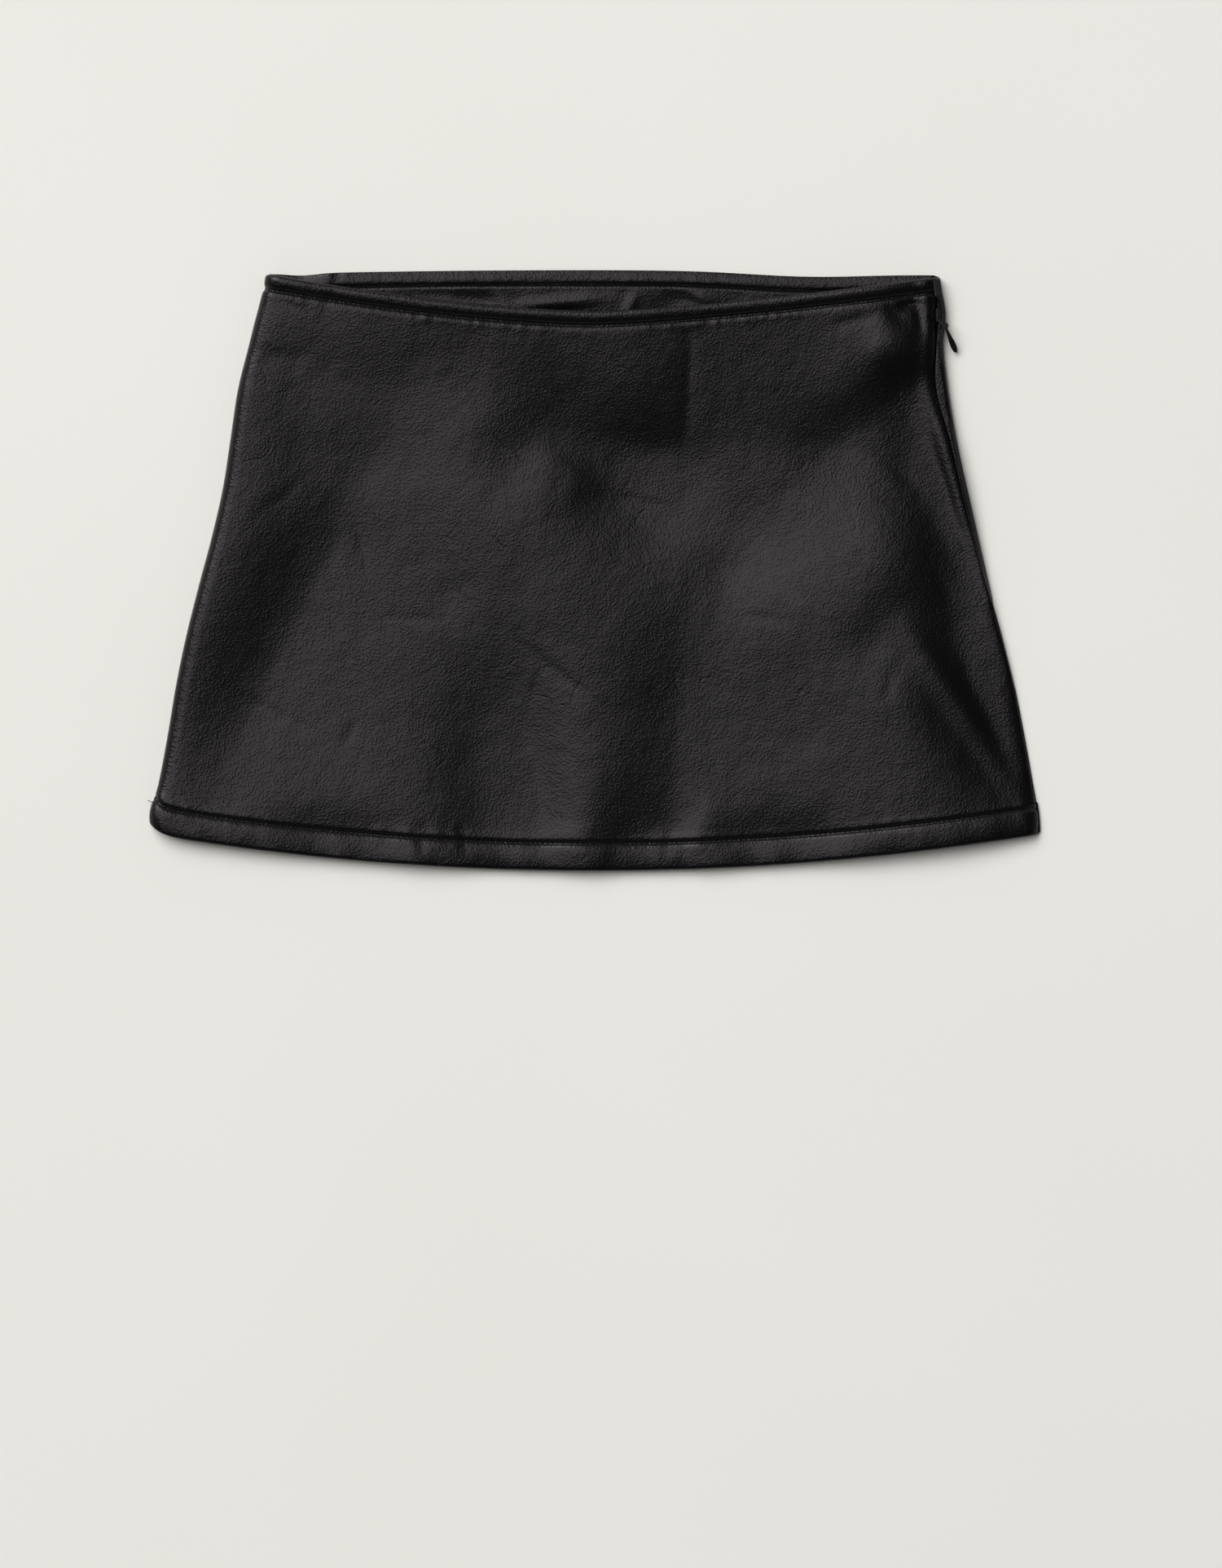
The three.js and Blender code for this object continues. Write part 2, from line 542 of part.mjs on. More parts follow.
// Pull tab: an eye round the pin and a teardrop that droops towards the surface
function zipPull() {
  const ring = new THREE.Shape().absarc(0, 0, EYE.outer, 0, 2 * Math.PI);
  ring.holes.push(new THREE.Path().absarc(0, 0, EYE.inner, 0, 2 * Math.PI, true));
  const eye = new THREE.ExtrudeGeometry(ring, { depth: EYE.thick, bevelEnabled: false, curveSegments: 12 });
  eye.translate(0, 0, EYE.low);
  const side = (sign) => [
    new THREE.Vector2(TAB.wideAt * 0.55, sign * TAB.wide * 0.62),
    new THREE.Vector2(TAB.wideAt, sign * TAB.wide),
    new THREE.Vector2(mix(TAB.wideAt, TAB.long, 0.7), sign * TAB.wide * 0.78),
  ];
  const tip = new THREE.Vector2(TAB.long, 0);
  const outline = new THREE.Shape()
    .moveTo(TAB.neckAt, -TAB.neck)
    .splineThru([...side(-1), tip])
    .splineThru([...side(1).reverse(), new THREE.Vector2(TAB.neckAt, TAB.neck)])
    .closePath();
  const drop = new THREE.ExtrudeGeometry(outline, { depth: TAB.thick, bevelEnabled: false, curveSegments: 8 });
  drop
    .translate(0, 0, -TAB.thick / 2)
    .rotateY(rad(TAB.droop))
    .translate(0, 0, EYE.low + EYE.thick / 2 + TAB.neckAt * Math.sin(rad(TAB.droop)));
  const pull = joined([eye, drop]);
  const place = pinPlace();
  return pull.rotateZ(rad(TAB.turn)).translate(place.x, place.y, 0);
}

add("front_panel", frontPanel(), leather);
add("front_waist_edge", frontWaistEdge(), leather);
add("front_hem", frontHem(), leather);
add("back_panel", backPanel(), leather);
add("back_waist_edge", backWaistEdge(), leather);
add("back_hem", backHem(), leather);
add("back_facing", backFacing(), facingLeather);
add("zip_tape_front", frontTape(), tapeCloth);
add("zip_tape_back", backTape(), tapeCloth);
add("zip_chain", zipChain(), zipEnamel);
add("zip_slider", zipSlider(), zipEnamel);
add("zip_pull", zipPull(), zipEnamel);

export default skirt;
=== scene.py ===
# %% [markdown]
# # A black leather mini skirt, laid flat
#
# The skirt lies on a pale table with its front up. It is cut from faux leather: a thin sheet
# with a grained skin on one side and knitted cloth on the other. The waist and the hem are
# turned to the inside and topstitched, and a zip with a teardrop pull closes the side seam on
# the right of the picture.
#
# A construction model in real sizes comes first, as the frame. Each of its plain cloth walls is
# replaced here by a thin sheet with folds, seams and stitches, in the same place. Everything
# is in metres: +X is the zip's side, +Y the waist, and the table is at Z = 0.

# %% Load the frame
import math
import random

import bmesh
import bpy
import numpy as np
from mathutils import Matrix, Vector


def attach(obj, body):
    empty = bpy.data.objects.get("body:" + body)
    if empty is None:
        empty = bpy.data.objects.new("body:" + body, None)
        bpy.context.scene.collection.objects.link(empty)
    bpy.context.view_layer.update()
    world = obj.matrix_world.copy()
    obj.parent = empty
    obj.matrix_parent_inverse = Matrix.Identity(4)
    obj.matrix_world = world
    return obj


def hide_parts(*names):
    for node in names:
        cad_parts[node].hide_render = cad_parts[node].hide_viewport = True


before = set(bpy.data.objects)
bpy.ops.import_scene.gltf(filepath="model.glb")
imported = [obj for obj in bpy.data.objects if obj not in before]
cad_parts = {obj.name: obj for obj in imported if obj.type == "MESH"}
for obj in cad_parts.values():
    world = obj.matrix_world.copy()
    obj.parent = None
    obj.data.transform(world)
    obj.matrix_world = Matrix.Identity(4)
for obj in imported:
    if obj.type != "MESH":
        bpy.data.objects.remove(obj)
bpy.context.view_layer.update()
scene = bpy.context.scene

# %% [markdown]
# ## The camera
#
# A skirt is photographed flat from straight above, so that its outline isn't distorted. The
# picture is 1500 by 1924 pixels and each pixel covers 0.459 mm of the front. From that and a
# lens of 300 mm follows how high the camera hangs. The middle of the picture is a little to
# the right of the skirt and well below it.

# %% Camera straight above
PIXEL = 0.000459
PICTURE = (1500, 1924)
FRONT_HEIGHT = 0.008  # height of the front panel, where that scale holds

camera_data = bpy.data.cameras.new("camera")
camera_data.lens = 300
camera_data.sensor_width = 36
camera_data.clip_end = 60
camera = bpy.data.objects.new("camera", camera_data)
distance = PICTURE[1] * PIXEL * camera_data.lens / camera_data.sensor_width
camera.location = (0.0096, -0.1205, FRONT_HEIGHT + distance)
scene.collection.objects.link(camera)
scene.camera = camera
print("camera hangs", round(distance, 3), "m above the front")

# %% [markdown]
# ## Light
#
# Black leather shows its shape by what it reflects, so the lights are placed by the tones in the
# picture. Level stretches are mid grey, slopes that face the upper left are brighter, and
# slopes that lean towards the zip or the hem go dark at once. So there are two large soft
# lights. One hangs overhead and is set off towards the upper left: level leather reflects it
# just inside its right and lower edges, and a slope of a few degrees already reflects
# the dark beside it. The other is a broad window light at the upper left, which the bright slopes
# reflect. Two small lights could not do this, as each would leave a sharp glint.
#
# The world's own light is weak overhead and stronger at the horizon, as a pale room's walls are.
# From straight above it only shows on the rolled sides, and it shapes the skirt from the side.
# Colours are shown as they are, without a film look.

# %% Two large soft lights, and a pale room
def soft_light(name, place, aim, size, power, colour):
    lamp = bpy.data.lights.new(name, "AREA")
    lamp.shape = "RECTANGLE"
    lamp.size, lamp.size_y = size
    lamp.energy = power
    lamp.color = colour
    light = bpy.data.objects.new(name, lamp)
    light.location = place
    light.rotation_euler = (Vector(aim) - Vector(place)).to_track_quat("-Z", "Y").to_euler()
    scene.collection.objects.link(light)
    return light


soft_light("window_light", (-7.6, 9.3, 10.7), (0, 0, 0), (15.0, 9.6), 2700, (1.0, 0.985, 0.96))
soft_light("overhead", (-3.3, 3.35, 16.0), (0, 0, 0), (9.0, 8.9), 700, (1.0, 0.99, 0.98))

world = bpy.data.worlds.new("studio")
world.use_nodes = True
nodes, links = world.node_tree.nodes, world.node_tree.links
nodes["Background"].inputs["Color"].default_value = (1.0, 0.985, 0.965, 1)
upward = nodes.new("ShaderNodeSeparateXYZ")
links.new(nodes.new("ShaderNodeTexCoord").outputs["Generated"], upward.inputs[0])
fade = nodes.new("ShaderNodeMapRange")
fade.interpolation_type = "SMOOTHSTEP"
fade.inputs["From Min"].default_value = 0.1
fade.inputs["From Max"].default_value = 0.75
fade.inputs["To Min"].default_value = 0.5  # at the horizon
fade.inputs["To Max"].default_value = 0.06  # overhead
links.new(upward.outputs["Z"], fade.inputs["Value"])
links.new(fade.outputs["Result"], nodes["Background"].inputs["Strength"])
scene.world = world
scene.view_settings.view_transform = "Standard"
scene.view_settings.look = "None"

# %% [markdown]
# ## The construction's sizes
#
# The sheets made here lie where the construction's walls are, so its outline is written again:
# one row for each level of the skirt, from the waist down, in millimetres. A smooth curve
# through the rows gives every level between them. All of the points of a sheet are worked out
# at once, so these functions take and return whole arrays.

# %% Levels of the skirt
MM = 0.001
CLOTH = 1.0  # thickness of the faux leather
TURN = 1.05  # radius of a turned edge, over its skin
WAIST_TURNING = 8.4
HEM_TURNING = 15.4
TURN_RADIUS = 3.1  # the back's turn beside the zip
HEM_HALF = 250
WAIST_START = -183.2  # x of the waist's left end
WAIST_SPAN = 375.4  # from there to the front's edge beside the zip
WAIST_LENGTH = 376  # of a line of stitches
HEM_LENGTH = 500
LAYERS_BELOW = 3.3  # least height of the front's skin, over the back and the turned edges
TURNED_BELOW = 1.1  # what the front's own turned edges add to that

COLUMNS = ("y", "left", "right", "roll", "loft", "strip", "gap", "ridge")
LEVELS = np.array([
    (169, -183.2, 194.4, 5.9, 3.6, 3.3, 0.5, 3.5),
    (158, -186.0, 196.2, 6.0, 3.7, 3.3, 0.5, 3.5),
    (147, -189.2, 197.4, 6.2, 3.9, 2.2, 2.4, 3.2),
    (139, -191.5, 197.3, 6.3, 4.0, 2.0, 2.2, 3.2),
    (128, -194.3, 197.0, 6.4, 4.1, 3.4, 0.3, 3.2),
    (102, -200.8, 199.9, 6.6, 4.2, 6.6, 0.2, 3.2),
    (73, -205.2, 204.8, 6.6, 4.2, 3.7, 0.2, 3.2),
    (46, -209.4, 210.2, 6.6, 4.2, 2.8, 0.2, 3.6),
    (18, -215.8, 215.8, 6.6, 4.2, 1.5, 0.2, 5.0),
    (-9, -223.0, 222.0, 6.6, 4.1, 0.5, 0.2, 6.5),
    (-37, -230.0, 230.2, 6.5, 4.0, -1.0, 0.2, 8.5),
    (-64, -235.6, 236.5, 6.3, 3.9, -2.6, 0.2, 9.0),
    (-92, -240.3, 242.0, 6.1, 3.8, -3.0, 0.2, 9.0),
    (-120, -245.6, 247.0, 5.9, 3.7, -3.0, 0.2, 9.0),
    (-138, -250.3, 250.0, 5.8, 3.6, -3.0, 0.2, 8.0),
    (-154, -249.6, 250.6, 5.7, 3.5, -3.0, 0.2, 8.0),
])


def level(y, column):
    """The value of a column of LEVELS at height y, on a smooth curve through its rows."""
    heights = LEVELS[:, 0]
    values = LEVELS[:, COLUMNS.index(column)]
    slopes = np.empty_like(values)
    slopes[1:-1] = (values[2:] - values[:-2]) / (heights[2:] - heights[:-2])
    slopes[0] = (values[1] - values[0]) / (heights[1] - heights[0])
    slopes[-1] = (values[-1] - values[-2]) / (heights[-1] - heights[-2])
    row = np.clip(np.searchsorted(-heights, -y) - 1, 0, len(heights) - 2)
    span = heights[row + 1] - heights[row]
    t = np.clip((y - heights[row]) / span, 0, 1)
    return (
        (2 * t**3 - 3 * t**2 + 1) * values[row]
        + (t**3 - 2 * t**2 + t) * span * slopes[row]
        + (3 * t**2 - 2 * t**3) * values[row + 1]
        + (t**3 - t**2) * span * slopes[row + 1]
    )


print("flat waist", round(float(level(160.0, "right") - level(160.0, "left"))), "mm")
print("flat hem", round(float(level(-149.0, "right") - level(-149.0, "left"))), "mm")

# %% Waist and hem lines
def front_waist(x):
    """The front waist dips towards its middle."""
    left = 146 + 21 * (np.clip(5 - x, 0, None) / 188.6) ** 1.6
    right = 146 + 19 * (np.clip(x - 5, 0, None) / 187) ** 1.35
    return np.where(x < 5, left, right)


def back_waist(x):
    """The back waist is nearly straight, slack at x = 120 and drawn in at its left end."""
    slack = 2.6 * np.exp(-(((x - 120) / 48) ** 2))
    drawn_in = 1.3 * np.exp(-(((x + 166) / 11) ** 2))
    return 169.2 - 2.4 * ((x + 5) / 188) ** 2 - slack - drawn_in


def hem(x):
    """The hem curves up to both sides. Its left corner is rounded."""
    corner = 5.5 * np.exp(-(x + HEM_HALF) / 5.5)
    return -169.5 + 20.5 * (x / HEM_HALF) ** 2 + np.minimum(corner, 5.5)


print("front length at the middle", round(float(front_waist(np.array(5.0)) - hem(np.array(5.0)))), "mm")

# %% [markdown]
# ## Folds
#
# A skirt that has hung and is then laid down keeps soft folds. Cloth simulation would make
# folds of its own, in other places, so the ones in the picture are given one by one: each is
# a trough or a swell with a middle, a direction, half a length, half a width on each side and a
# height. Unequal widths make one flank steeper, as where cloth is pressed against a crease.
# A flank shows darker or brighter by its slope, so a broad dark stretch is a broad trough whose
# flank faces the hem or the zip, and a thin line is a narrow one.
#
# The troughs add up, and there are layers below the front. So a soft stop keeps the skin above
# them. Smaller swells that no one would place by hand come from a few dozen gentle waves in
# random directions, with a fixed seed.

# %% The main folds of the front
# x, y, turn in degrees, half length, half width left of that direction and right of it, height,
# and how round the bottom is: 2 is soft, and near 1 it is a crease
FRONT_FOLDS = {
    "crown": (-30, 20, 90, 150, 130, 150, 1.3, 2),
    "fall below the left waist": (-95, 100, -3, 104, 44, 160, -2.6, 2),
    "hollow under the waist": (2, 63, -28, 50, 42, 40, -4.8, 2),
    "its deepest part": (28, 60, -30, 34, 20, 60, -2.2, 1.8),
    "foot of that hollow": (66, 26, -28, 48, 34, 80, -3.2, 2),
    "swell below its left end": (-18, 55, -28, 20, 11, 24, 1.3, 2),
    "crease under the waist": (53, 102, 88, 36, 5, 5, -0.6, 1.2),
    "wide hollow at the right": (96, 70, -2, 64, 70, 150, -5.6, 1.5),
    "swell by the zip": (173, 124, -6, 19, 18, 14, 2.2, 2),
    "upper right hollow": (158, 84, 40, 46, 20, 60, -2.6, 1.8),
    "upper zip-side trough": (199, 32, 112, 62, 32, 9, -5.2, 1.5),
    "lower zip-side trough": (228, -72, 117, 64, 23, 12, -5.8, 1.5),
    "ridge beside it": (204, -74, 124, 48, 7, 8, 1.0, 2),
    "trough left of that ridge": (209, -98, 128, 34, 14, 10, -1.4, 1.6),
    "right hollow": (166, -32, 60, 26, 20, 50, -1.9, 1.8),
    "middle hem flute": (46, -116, 89, 72, 38, 100, -3.4, 1.4),
    "hollow by the middle hem": (28, -171, 0, 24, 38, 20, -3.0, 2),
    "left hem flute": (-44, -136, 95, 84, 36, 30, -5.0, 2),
    "left side trough": (-163, -26, 64, 104, 36, 170, -5.6, 1.8),
    "its upper end": (-158, 84, 88, 38, 30, 140, -1.4, 2),
    "left diagonal swell": (-72, 36, 114, 56, 18, 90, 0.6, 2),
    "hollow over the left hem": (-142, -152, -5, 34, 15, 30, -1.8, 2),
    "hollow over the right hem": (105, -154, 5, 34, 15, 30, -1.8, 2),
    "swell between the flutes": (-18, -152, 0, 15, 9, 9, 0.7, 2),
    "swell beside the middle flute": (60, -146, 60, 16, 8, 10, 0.5, 2),
    "dent in the left side": (-176, 121, -4, 13, 4, 10, -0.4, 2),
    "dip in the middle": (0, 34, 10, 24, 9, 24, -0.3, 2),
    "dip at the right": (71, -1, 60, 14, 8, 14, -0.3, 2),
    "dip at the left": (-80, -13, 20, 14, 8, 14, -0.3, 2),
}
# Folds too small for the construction model
SMALL_FOLDS = {
    "line under the hollow": (-12, 44, -18, 30, 3.0, 6.0, -0.12, 1.5),
    "long slant, low middle": (-14, -62, -37, 38, 2.4, 3.6, -0.3, 1.3),
    "slant, low left": (-180, -80, -26, 24, 2.2, 3.4, -0.3, 1.3),
    "short upright, low middle": (-33, -66, 78, 9, 1.8, 3.0, -0.32, 1.5),
    "short upright, low right": (166, -65, 72, 9, 1.8, 3.0, -0.3, 1.5),
    "short upright, left": (-131, 12, 104, 16, 2.2, 3.6, -0.3, 1.4),
    "level crease, left": (-102, -27, -3, 16, 1.8, 2.6, -0.28, 1.4),
    "level crease, right": (95, -27, -6, 14, 1.8, 2.6, -0.28, 1.4),
    "slant, upper right": (172, 56, -38, 16, 2.4, 3.4, -0.3, 1.4),
    "slant, upper left": (-178, 40, 38, 20, 2.4, 4.0, -0.25, 1.4),
    "short upright, low left": (-138, -92, 60, 9, 2.0, 3.2, -0.3, 1.5),
    "level crease, middle": (22, 40, -12, 22, 2.0, 3.0, -0.25, 1.4),
    "tight lines under the left waist": (-172, 150, -22, 8, 1.4, 2.4, -0.28, 1.6),
    "pinch at the zip's top": (178, 150, 20, 6, 2.5, 3.0, -1.3, 2),
    "third pinch there": (171, 144, -38, 8, 2.4, 4.5, -0.6, 1.8),
    "line under the right waist": (146, 141, 12, 12, 2.0, 3.6, -0.35, 1.6),
    "second pinch there": (184, 141, 100, 10, 2.2, 3.0, -1.2, 2),
    "pleat at the left waist": (-150, 152, 70, 8, 1.8, 2.6, -0.25, 1.6),
    "lines by the left hem": (-97, -152, 84, 9, 1.8, 2.8, -0.5, 1.6),
    "second line by the left hem": (-74, -152, 96, 9, 1.8, 2.8, -0.5, 1.6),
    "line by the middle hem": (41, -155, 80, 10, 1.6, 2.6, -0.3, 1.6),
}


def folds(x, y, table):
    """Height that all the folds of a table add up to."""
    height = np.zeros_like(x)
    for middle_x, middle_y, turn, long, left, right, high, soft in table.values():
        c, s = math.cos(math.radians(turn)), math.sin(math.radians(turn))
        along = ((x - middle_x) * c + (y - middle_y) * s) / long
        across = (y - middle_y) * c - (x - middle_x) * s
        across = np.where(across > 0, across / left, across / right)
        height += high * np.exp(-(np.abs(along) ** 3 + np.abs(across) ** soft))
    return height


def kept_above(height, least):
    """Height, but with a soft stop above the layers that lie below."""
    return least + (height - least + np.sqrt((height - least) ** 2 + 0.6)) / 2


def waves(x, y, shortest, longest, seed, count=28):
    """Gentle random swells of about -1 to 1."""
    maker = random.Random(seed)
    total = np.zeros_like(x)
    for _ in range(count):
        k = 2 * math.pi / maker.uniform(shortest, longest)
        turn = maker.uniform(0, 2 * math.pi)
        total += np.sin(k * (x * math.cos(turn) + y * math.sin(turn)) + maker.uniform(0, 6.28))
    return total / math.sqrt(count)


def pucker(x, shortest, longest, seed):
    """Uneven gathers along a seam, from 0 to about 1, deepest where the thread pulls most."""
    ripple = waves(x, x * 0, shortest, longest, seed, 18)
    pull = 0.55 + 0.45 * np.sin(x / 23.0 + seed)
    return np.abs(ripple) * pull


print(len(FRONT_FOLDS), "main folds and", len(SMALL_FOLDS), "small ones")

# %% [markdown]
# ## The front's surface
#
# f runs from the left side, 0, to the zip's side, 1, and depth is the distance down from the
# waist. The front rises from its two sides to a low, wide middle, and the folds are added to
# that. Each side rolls over in a quarter round, with a slight lip inside it: leather that is
# bent round a seam stands up a little beside the bend. To turn an edge or to raise a seam, a
# point has to move straight out of the surface, so the surface's direction is measured at each
# point too, from neighbours that are very close.

# %% Places on the front
def back_turn(y):
    """How far round the back turns beside the zip, and how far it then runs straight on."""
    strip = level(y, "strip")
    half = np.pi - np.arcsin(np.clip(1 - strip / TURN_RADIUS, 0, 1))
    quarter = np.pi / 2 * np.clip(1 + strip / 3, 0, 1)
    angle = np.where(strip > 0, half, quarter)
    run = np.where(strip > 0, np.clip(strip - TURN_RADIUS, 0, None), TURN_RADIUS * (1 - np.sin(angle)))
    return angle, run


def front_edge(y):
    """The front's edge on the zip's side: its x, and its height."""
    angle, run = back_turn(y)
    right = level(y, "right")
    share = angle / (np.pi / 2)
    rise = TURN_RADIUS * (1 - np.cos(angle)) + run * np.sin(angle)
    back_end = right - TURN_RADIUS + TURN_RADIUS * np.sin(angle) + run * np.cos(angle)
    x_open = back_end - 0.6 * np.sin(angle) - level(y, "gap")
    x = np.where(share > 1, x_open, right - 1.2 * share**2)
    z_open = 3.5 + 0.6 * np.clip(share - 1, 0, 1)
    z = np.where(share > 1, z_open, rise + CLOTH * np.cos(angle) + 0.35)
    return x, z


def seam_height(y):
    """Height of the left side seam, where front and back meet: higher where edges are doubled."""
    doubled = 1 / (1 + np.exp(-(y - 152) / 2.0)) + 1 / (1 + np.exp((y + 132) / 3.0))
    return 1.35 + 0.95 * np.clip(doubled, 0, 1)


def rounded(distance, width):
    """Rises from 0 to 1 over width, as a quarter of a circle."""
    return np.sqrt(1 - (1 - np.clip(distance / width, 0, 1)) ** 2)


def front_base(f, depth):
    """Points of the front's skin, with its folds and without its seams."""
    top = front_waist(WAIST_START + f * WAIST_SPAN)
    bottom = hem(-HEM_HALF + f * 2 * HEM_HALF)
    y = top - depth
    t = depth / (top - bottom)
    left = level(y, "left")
    edge_x, edge_z = front_edge(y)
    x = left + f * (edge_x - left)
    full = np.sin(np.pi / 2 * np.clip(np.minimum(f / 0.2, (1 - f) / 0.14), 0, 1))
    loft = level(y, "loft") * np.where(f < 0.5, 0.45 + 0.55 * full, full)
    from_left = x - left
    lip = 0.5 * np.exp(-(((from_left - 11) / 20) ** 2))
    from_zip = edge_x - x
    upper = np.clip((y + 30) / 60, 0, 1)
    crest = 0.5 * np.exp(-(((from_zip - 5) / 3.5) ** 2))
    dip = 0.2 * np.exp(-(((from_zip - 12) / 4) ** 2))
    lip = lip + upper * (crest - dip)
    lip = lip - 1.2 * np.clip((y - 70) / 40, 0, 1) * np.exp(-((from_zip / 24) ** 2))
    quiet = np.clip(np.minimum(from_left, from_zip) / 20, 0, 1)
    small = folds(x, y, SMALL_FOLDS) + 0.05 * waves(x, y, 24, 80, 5, 60) + 0.02 * waves(x, y, 9, 24, 8, 60)
    edges = np.exp(-((depth / 12) ** 4)) + np.exp(-(((top - bottom - depth) / 19) ** 4))
    height = level(y, "roll") + loft + lip + folds(x, y, FRONT_FOLDS)
    height = kept_above(height, LAYERS_BELOW + TURNED_BELOW * edges)
    height = height + quiet * small
    left_fall = 1 - rounded(from_left, 7)
    right_fall = 1 - rounded(from_zip, level(y, "ridge"))
    z = height + (seam_height(y) - height) * left_fall + (edge_z - height) * right_fall
    return np.stack([x, y, z], axis=-1), top - bottom


def outward(base, f, depth):
    """Points of a surface, and the direction straight out of it."""
    step_f, step_d = 2e-5, 0.02
    here, length = base(f, depth)
    right, _ = base(np.minimum(f + step_f, 1), depth)
    left, _ = base(np.maximum(f - step_f, 0), depth)
    down, _ = base(f, depth + step_d)
    up, _ = base(f, depth - step_d)
    out = np.cross(down - up, right - left)
    return here, out / np.linalg.norm(out, axis=-1, keepdims=True), length


middle, direction, _ = outward(front_base, np.array([0.5]), np.array([100.0]))
print("front's middle:", middle[0].round(1), "faces", direction[0].round(2))

# %% [markdown]
# ## From a grid to a sheet
#
# A sheet of cloth starts as a flat grid, made by Blender, with as many columns and rows as its
# shape needs: many beside a seam and few elsewhere. Each of its points then moves to its place. A
# Solidify modifier gives the sheet its thickness, and puts the knitted back of the leather
# on the inner side.

# %% Grid and sheet helpers
def piece_from(bm, name):
    """A smooth mesh object made from a bmesh, which is then freed."""
    mesh = bpy.data.meshes.new(name)
    bm.to_mesh(mesh)
    bm.free()
    mesh.shade_smooth()
    piece = bpy.data.objects.new(name, mesh)
    scene.collection.objects.link(piece)
    return piece


def quads(name, place, columns, rows, skin_up=True):
    """A mesh object from a grid whose point in column i and row j goes to place[i, j]."""
    bm = bmesh.new()
    bmesh.ops.create_grid(bm, x_segments=columns - 1, y_segments=rows - 1, size=0.5)
    for v in bm.verts:
        i = round((v.co.x + 0.5) * (columns - 1))
        j = round((v.co.y + 0.5) * (rows - 1))
        v.co = place[i, j] * MM
    if skin_up:
        bmesh.ops.reverse_faces(bm, faces=bm.faces[:])
    return piece_from(bm, name)


def thickness(piece, mm, lining=0):
    """Gives a sheet its thickness, inwards from its skin."""
    solid = piece.modifiers.new("thickness", "SOLIDIFY")
    solid.thickness = mm * MM
    solid.offset = -1
    solid.material_offset = lining
    solid.use_even_offset = False


def steps(start, end, size):
    """Evenly spaced values from start to end, about size apart."""
    return list(np.linspace(start, end, max(2, round(abs(end - start) / size) + 1)))


# %% [markdown]
# ## Turned edges
#
# Both waist and hem are a single layer, folded to the inside and sewn down. A row of the sheet
# therefore has a depth, which is counted from the waist or from the hem, and a distance out of the
# surface. On the face that distance is 0, round the fold it follows a half circle, and on
# the turned part it is two layers down. The thread pulls both layers together in a groove,
# with small puckers beside it, and the edge between groove and fold swells.

# %% Rows of a sheet with both edges turned
def turned_rows(waist_end, hem_end, face_step):
    """Rows as (share of the length, depth from there, distance out, 1 on the face or 0)."""
    rows = [(0, d, -2 * TURN, 0) for d in steps(waist_end, TURN + 0.8, 1.4)]
    for angle in np.linspace(np.pi, 0, 9)[:-1]:
        rows.append((0, TURN - TURN * math.sin(angle), TURN * math.cos(angle) - TURN, 0.5))
    near_waist = steps(TURN, 6.4, 1.1) + steps(6.9, 10.4, 0.45) + steps(11.2, 15, 1.3)
    rows += [(0, d, 0, 1) for d in near_waist]
    near_hem = steps(24, 18.4, 1.4) + steps(17.4, 13.4, 0.45) + steps(12.6, TURN, 1.3)
    count = round((320 - 15 - 24) / face_step)
    for r in np.linspace(0, 1, count + 1)[1:-1]:
        rows.append((r, (1 - r) * 15 - r * 24, 0, 1))
    rows += [(1, -d, 0, 1) for d in near_hem]
    for angle in np.linspace(0, np.pi, 9)[1:]:
        rows.append((1, TURN * math.sin(angle) - TURN, TURN * math.cos(angle) - TURN, 0.5))
    rows += [(1, -d, -2 * TURN, 0) for d in steps(TURN + 0.8, hem_end, 2.4)]
    return np.array(rows)


def near(distance, width):
    """1 where distance is 0, falling smoothly to both sides."""
    return np.exp(-((distance / width) ** 2))


def seam_relief(along, from_waist, from_hem, seed):
    """How far the stitched edges rise and sink, out of the surface."""
    waist_swell = 1.2 * np.sin(np.pi * np.clip(from_waist / WAIST_TURNING, 0, 1) ** 0.6)
    hem_swell = 0.7 * np.sin(np.pi * np.clip(from_hem / HEM_TURNING, 0, 1)) ** 0.6
    waist_line = from_waist - WAIST_TURNING
    hem_line = from_hem - HEM_TURNING
    below = np.clip(waist_line, 0, None)
    lip = 0.75 * (1 - np.exp(-below / 1.6)) * np.exp(-below / 12)
    grooves = 1.0 * near(waist_line, 1.2) + 1.1 * near(hem_line, 1.2) - lip
    by_waist = near(waist_line - 2.2, 2.4) + 0.5 * near(waist_line + 2.6, 1.9)
    waist_gathers = pucker(along, 5, 15, seed) * by_waist
    by_hem = near(hem_line - 2.4, 2.4) + 0.5 * near(hem_line + 2.8, 2.4)
    hem_gathers = pucker(along, 5, 17, seed + 1) * by_hem
    hem_wave = 0.28 * waves(along, along * 0, 16, 46, seed + 2, 12) * np.clip(1 - from_hem / 20, 0, 1)
    return waist_swell + hem_swell - grooves + 0.34 * waist_gathers + 0.30 * hem_gathers + hem_wave


rows = turned_rows(10, 17, 2.3)
print(len(rows), "rows")

# %% [markdown]
# ## The front panel
#
# The front is one piece of faux leather from side seam to zip. Its columns are close over the
# two rolled sides and about 2.3 mm apart between them, so the soft folds have no flat facets. Grain
# is far finer than that, so it comes with the material.

# %% Front panel with its turned waist and hem
FRONT_SEED = 11  # gives the sheet and its stitches the same puckers


def front_columns():
    roll = [0.024 * (1 - math.cos(math.pi / 2 * i / 9)) for i in range(9)]
    even = list(np.linspace(0.024, 0.976, 205))
    return np.array(roll + even + [1 - f for f in reversed(roll)])


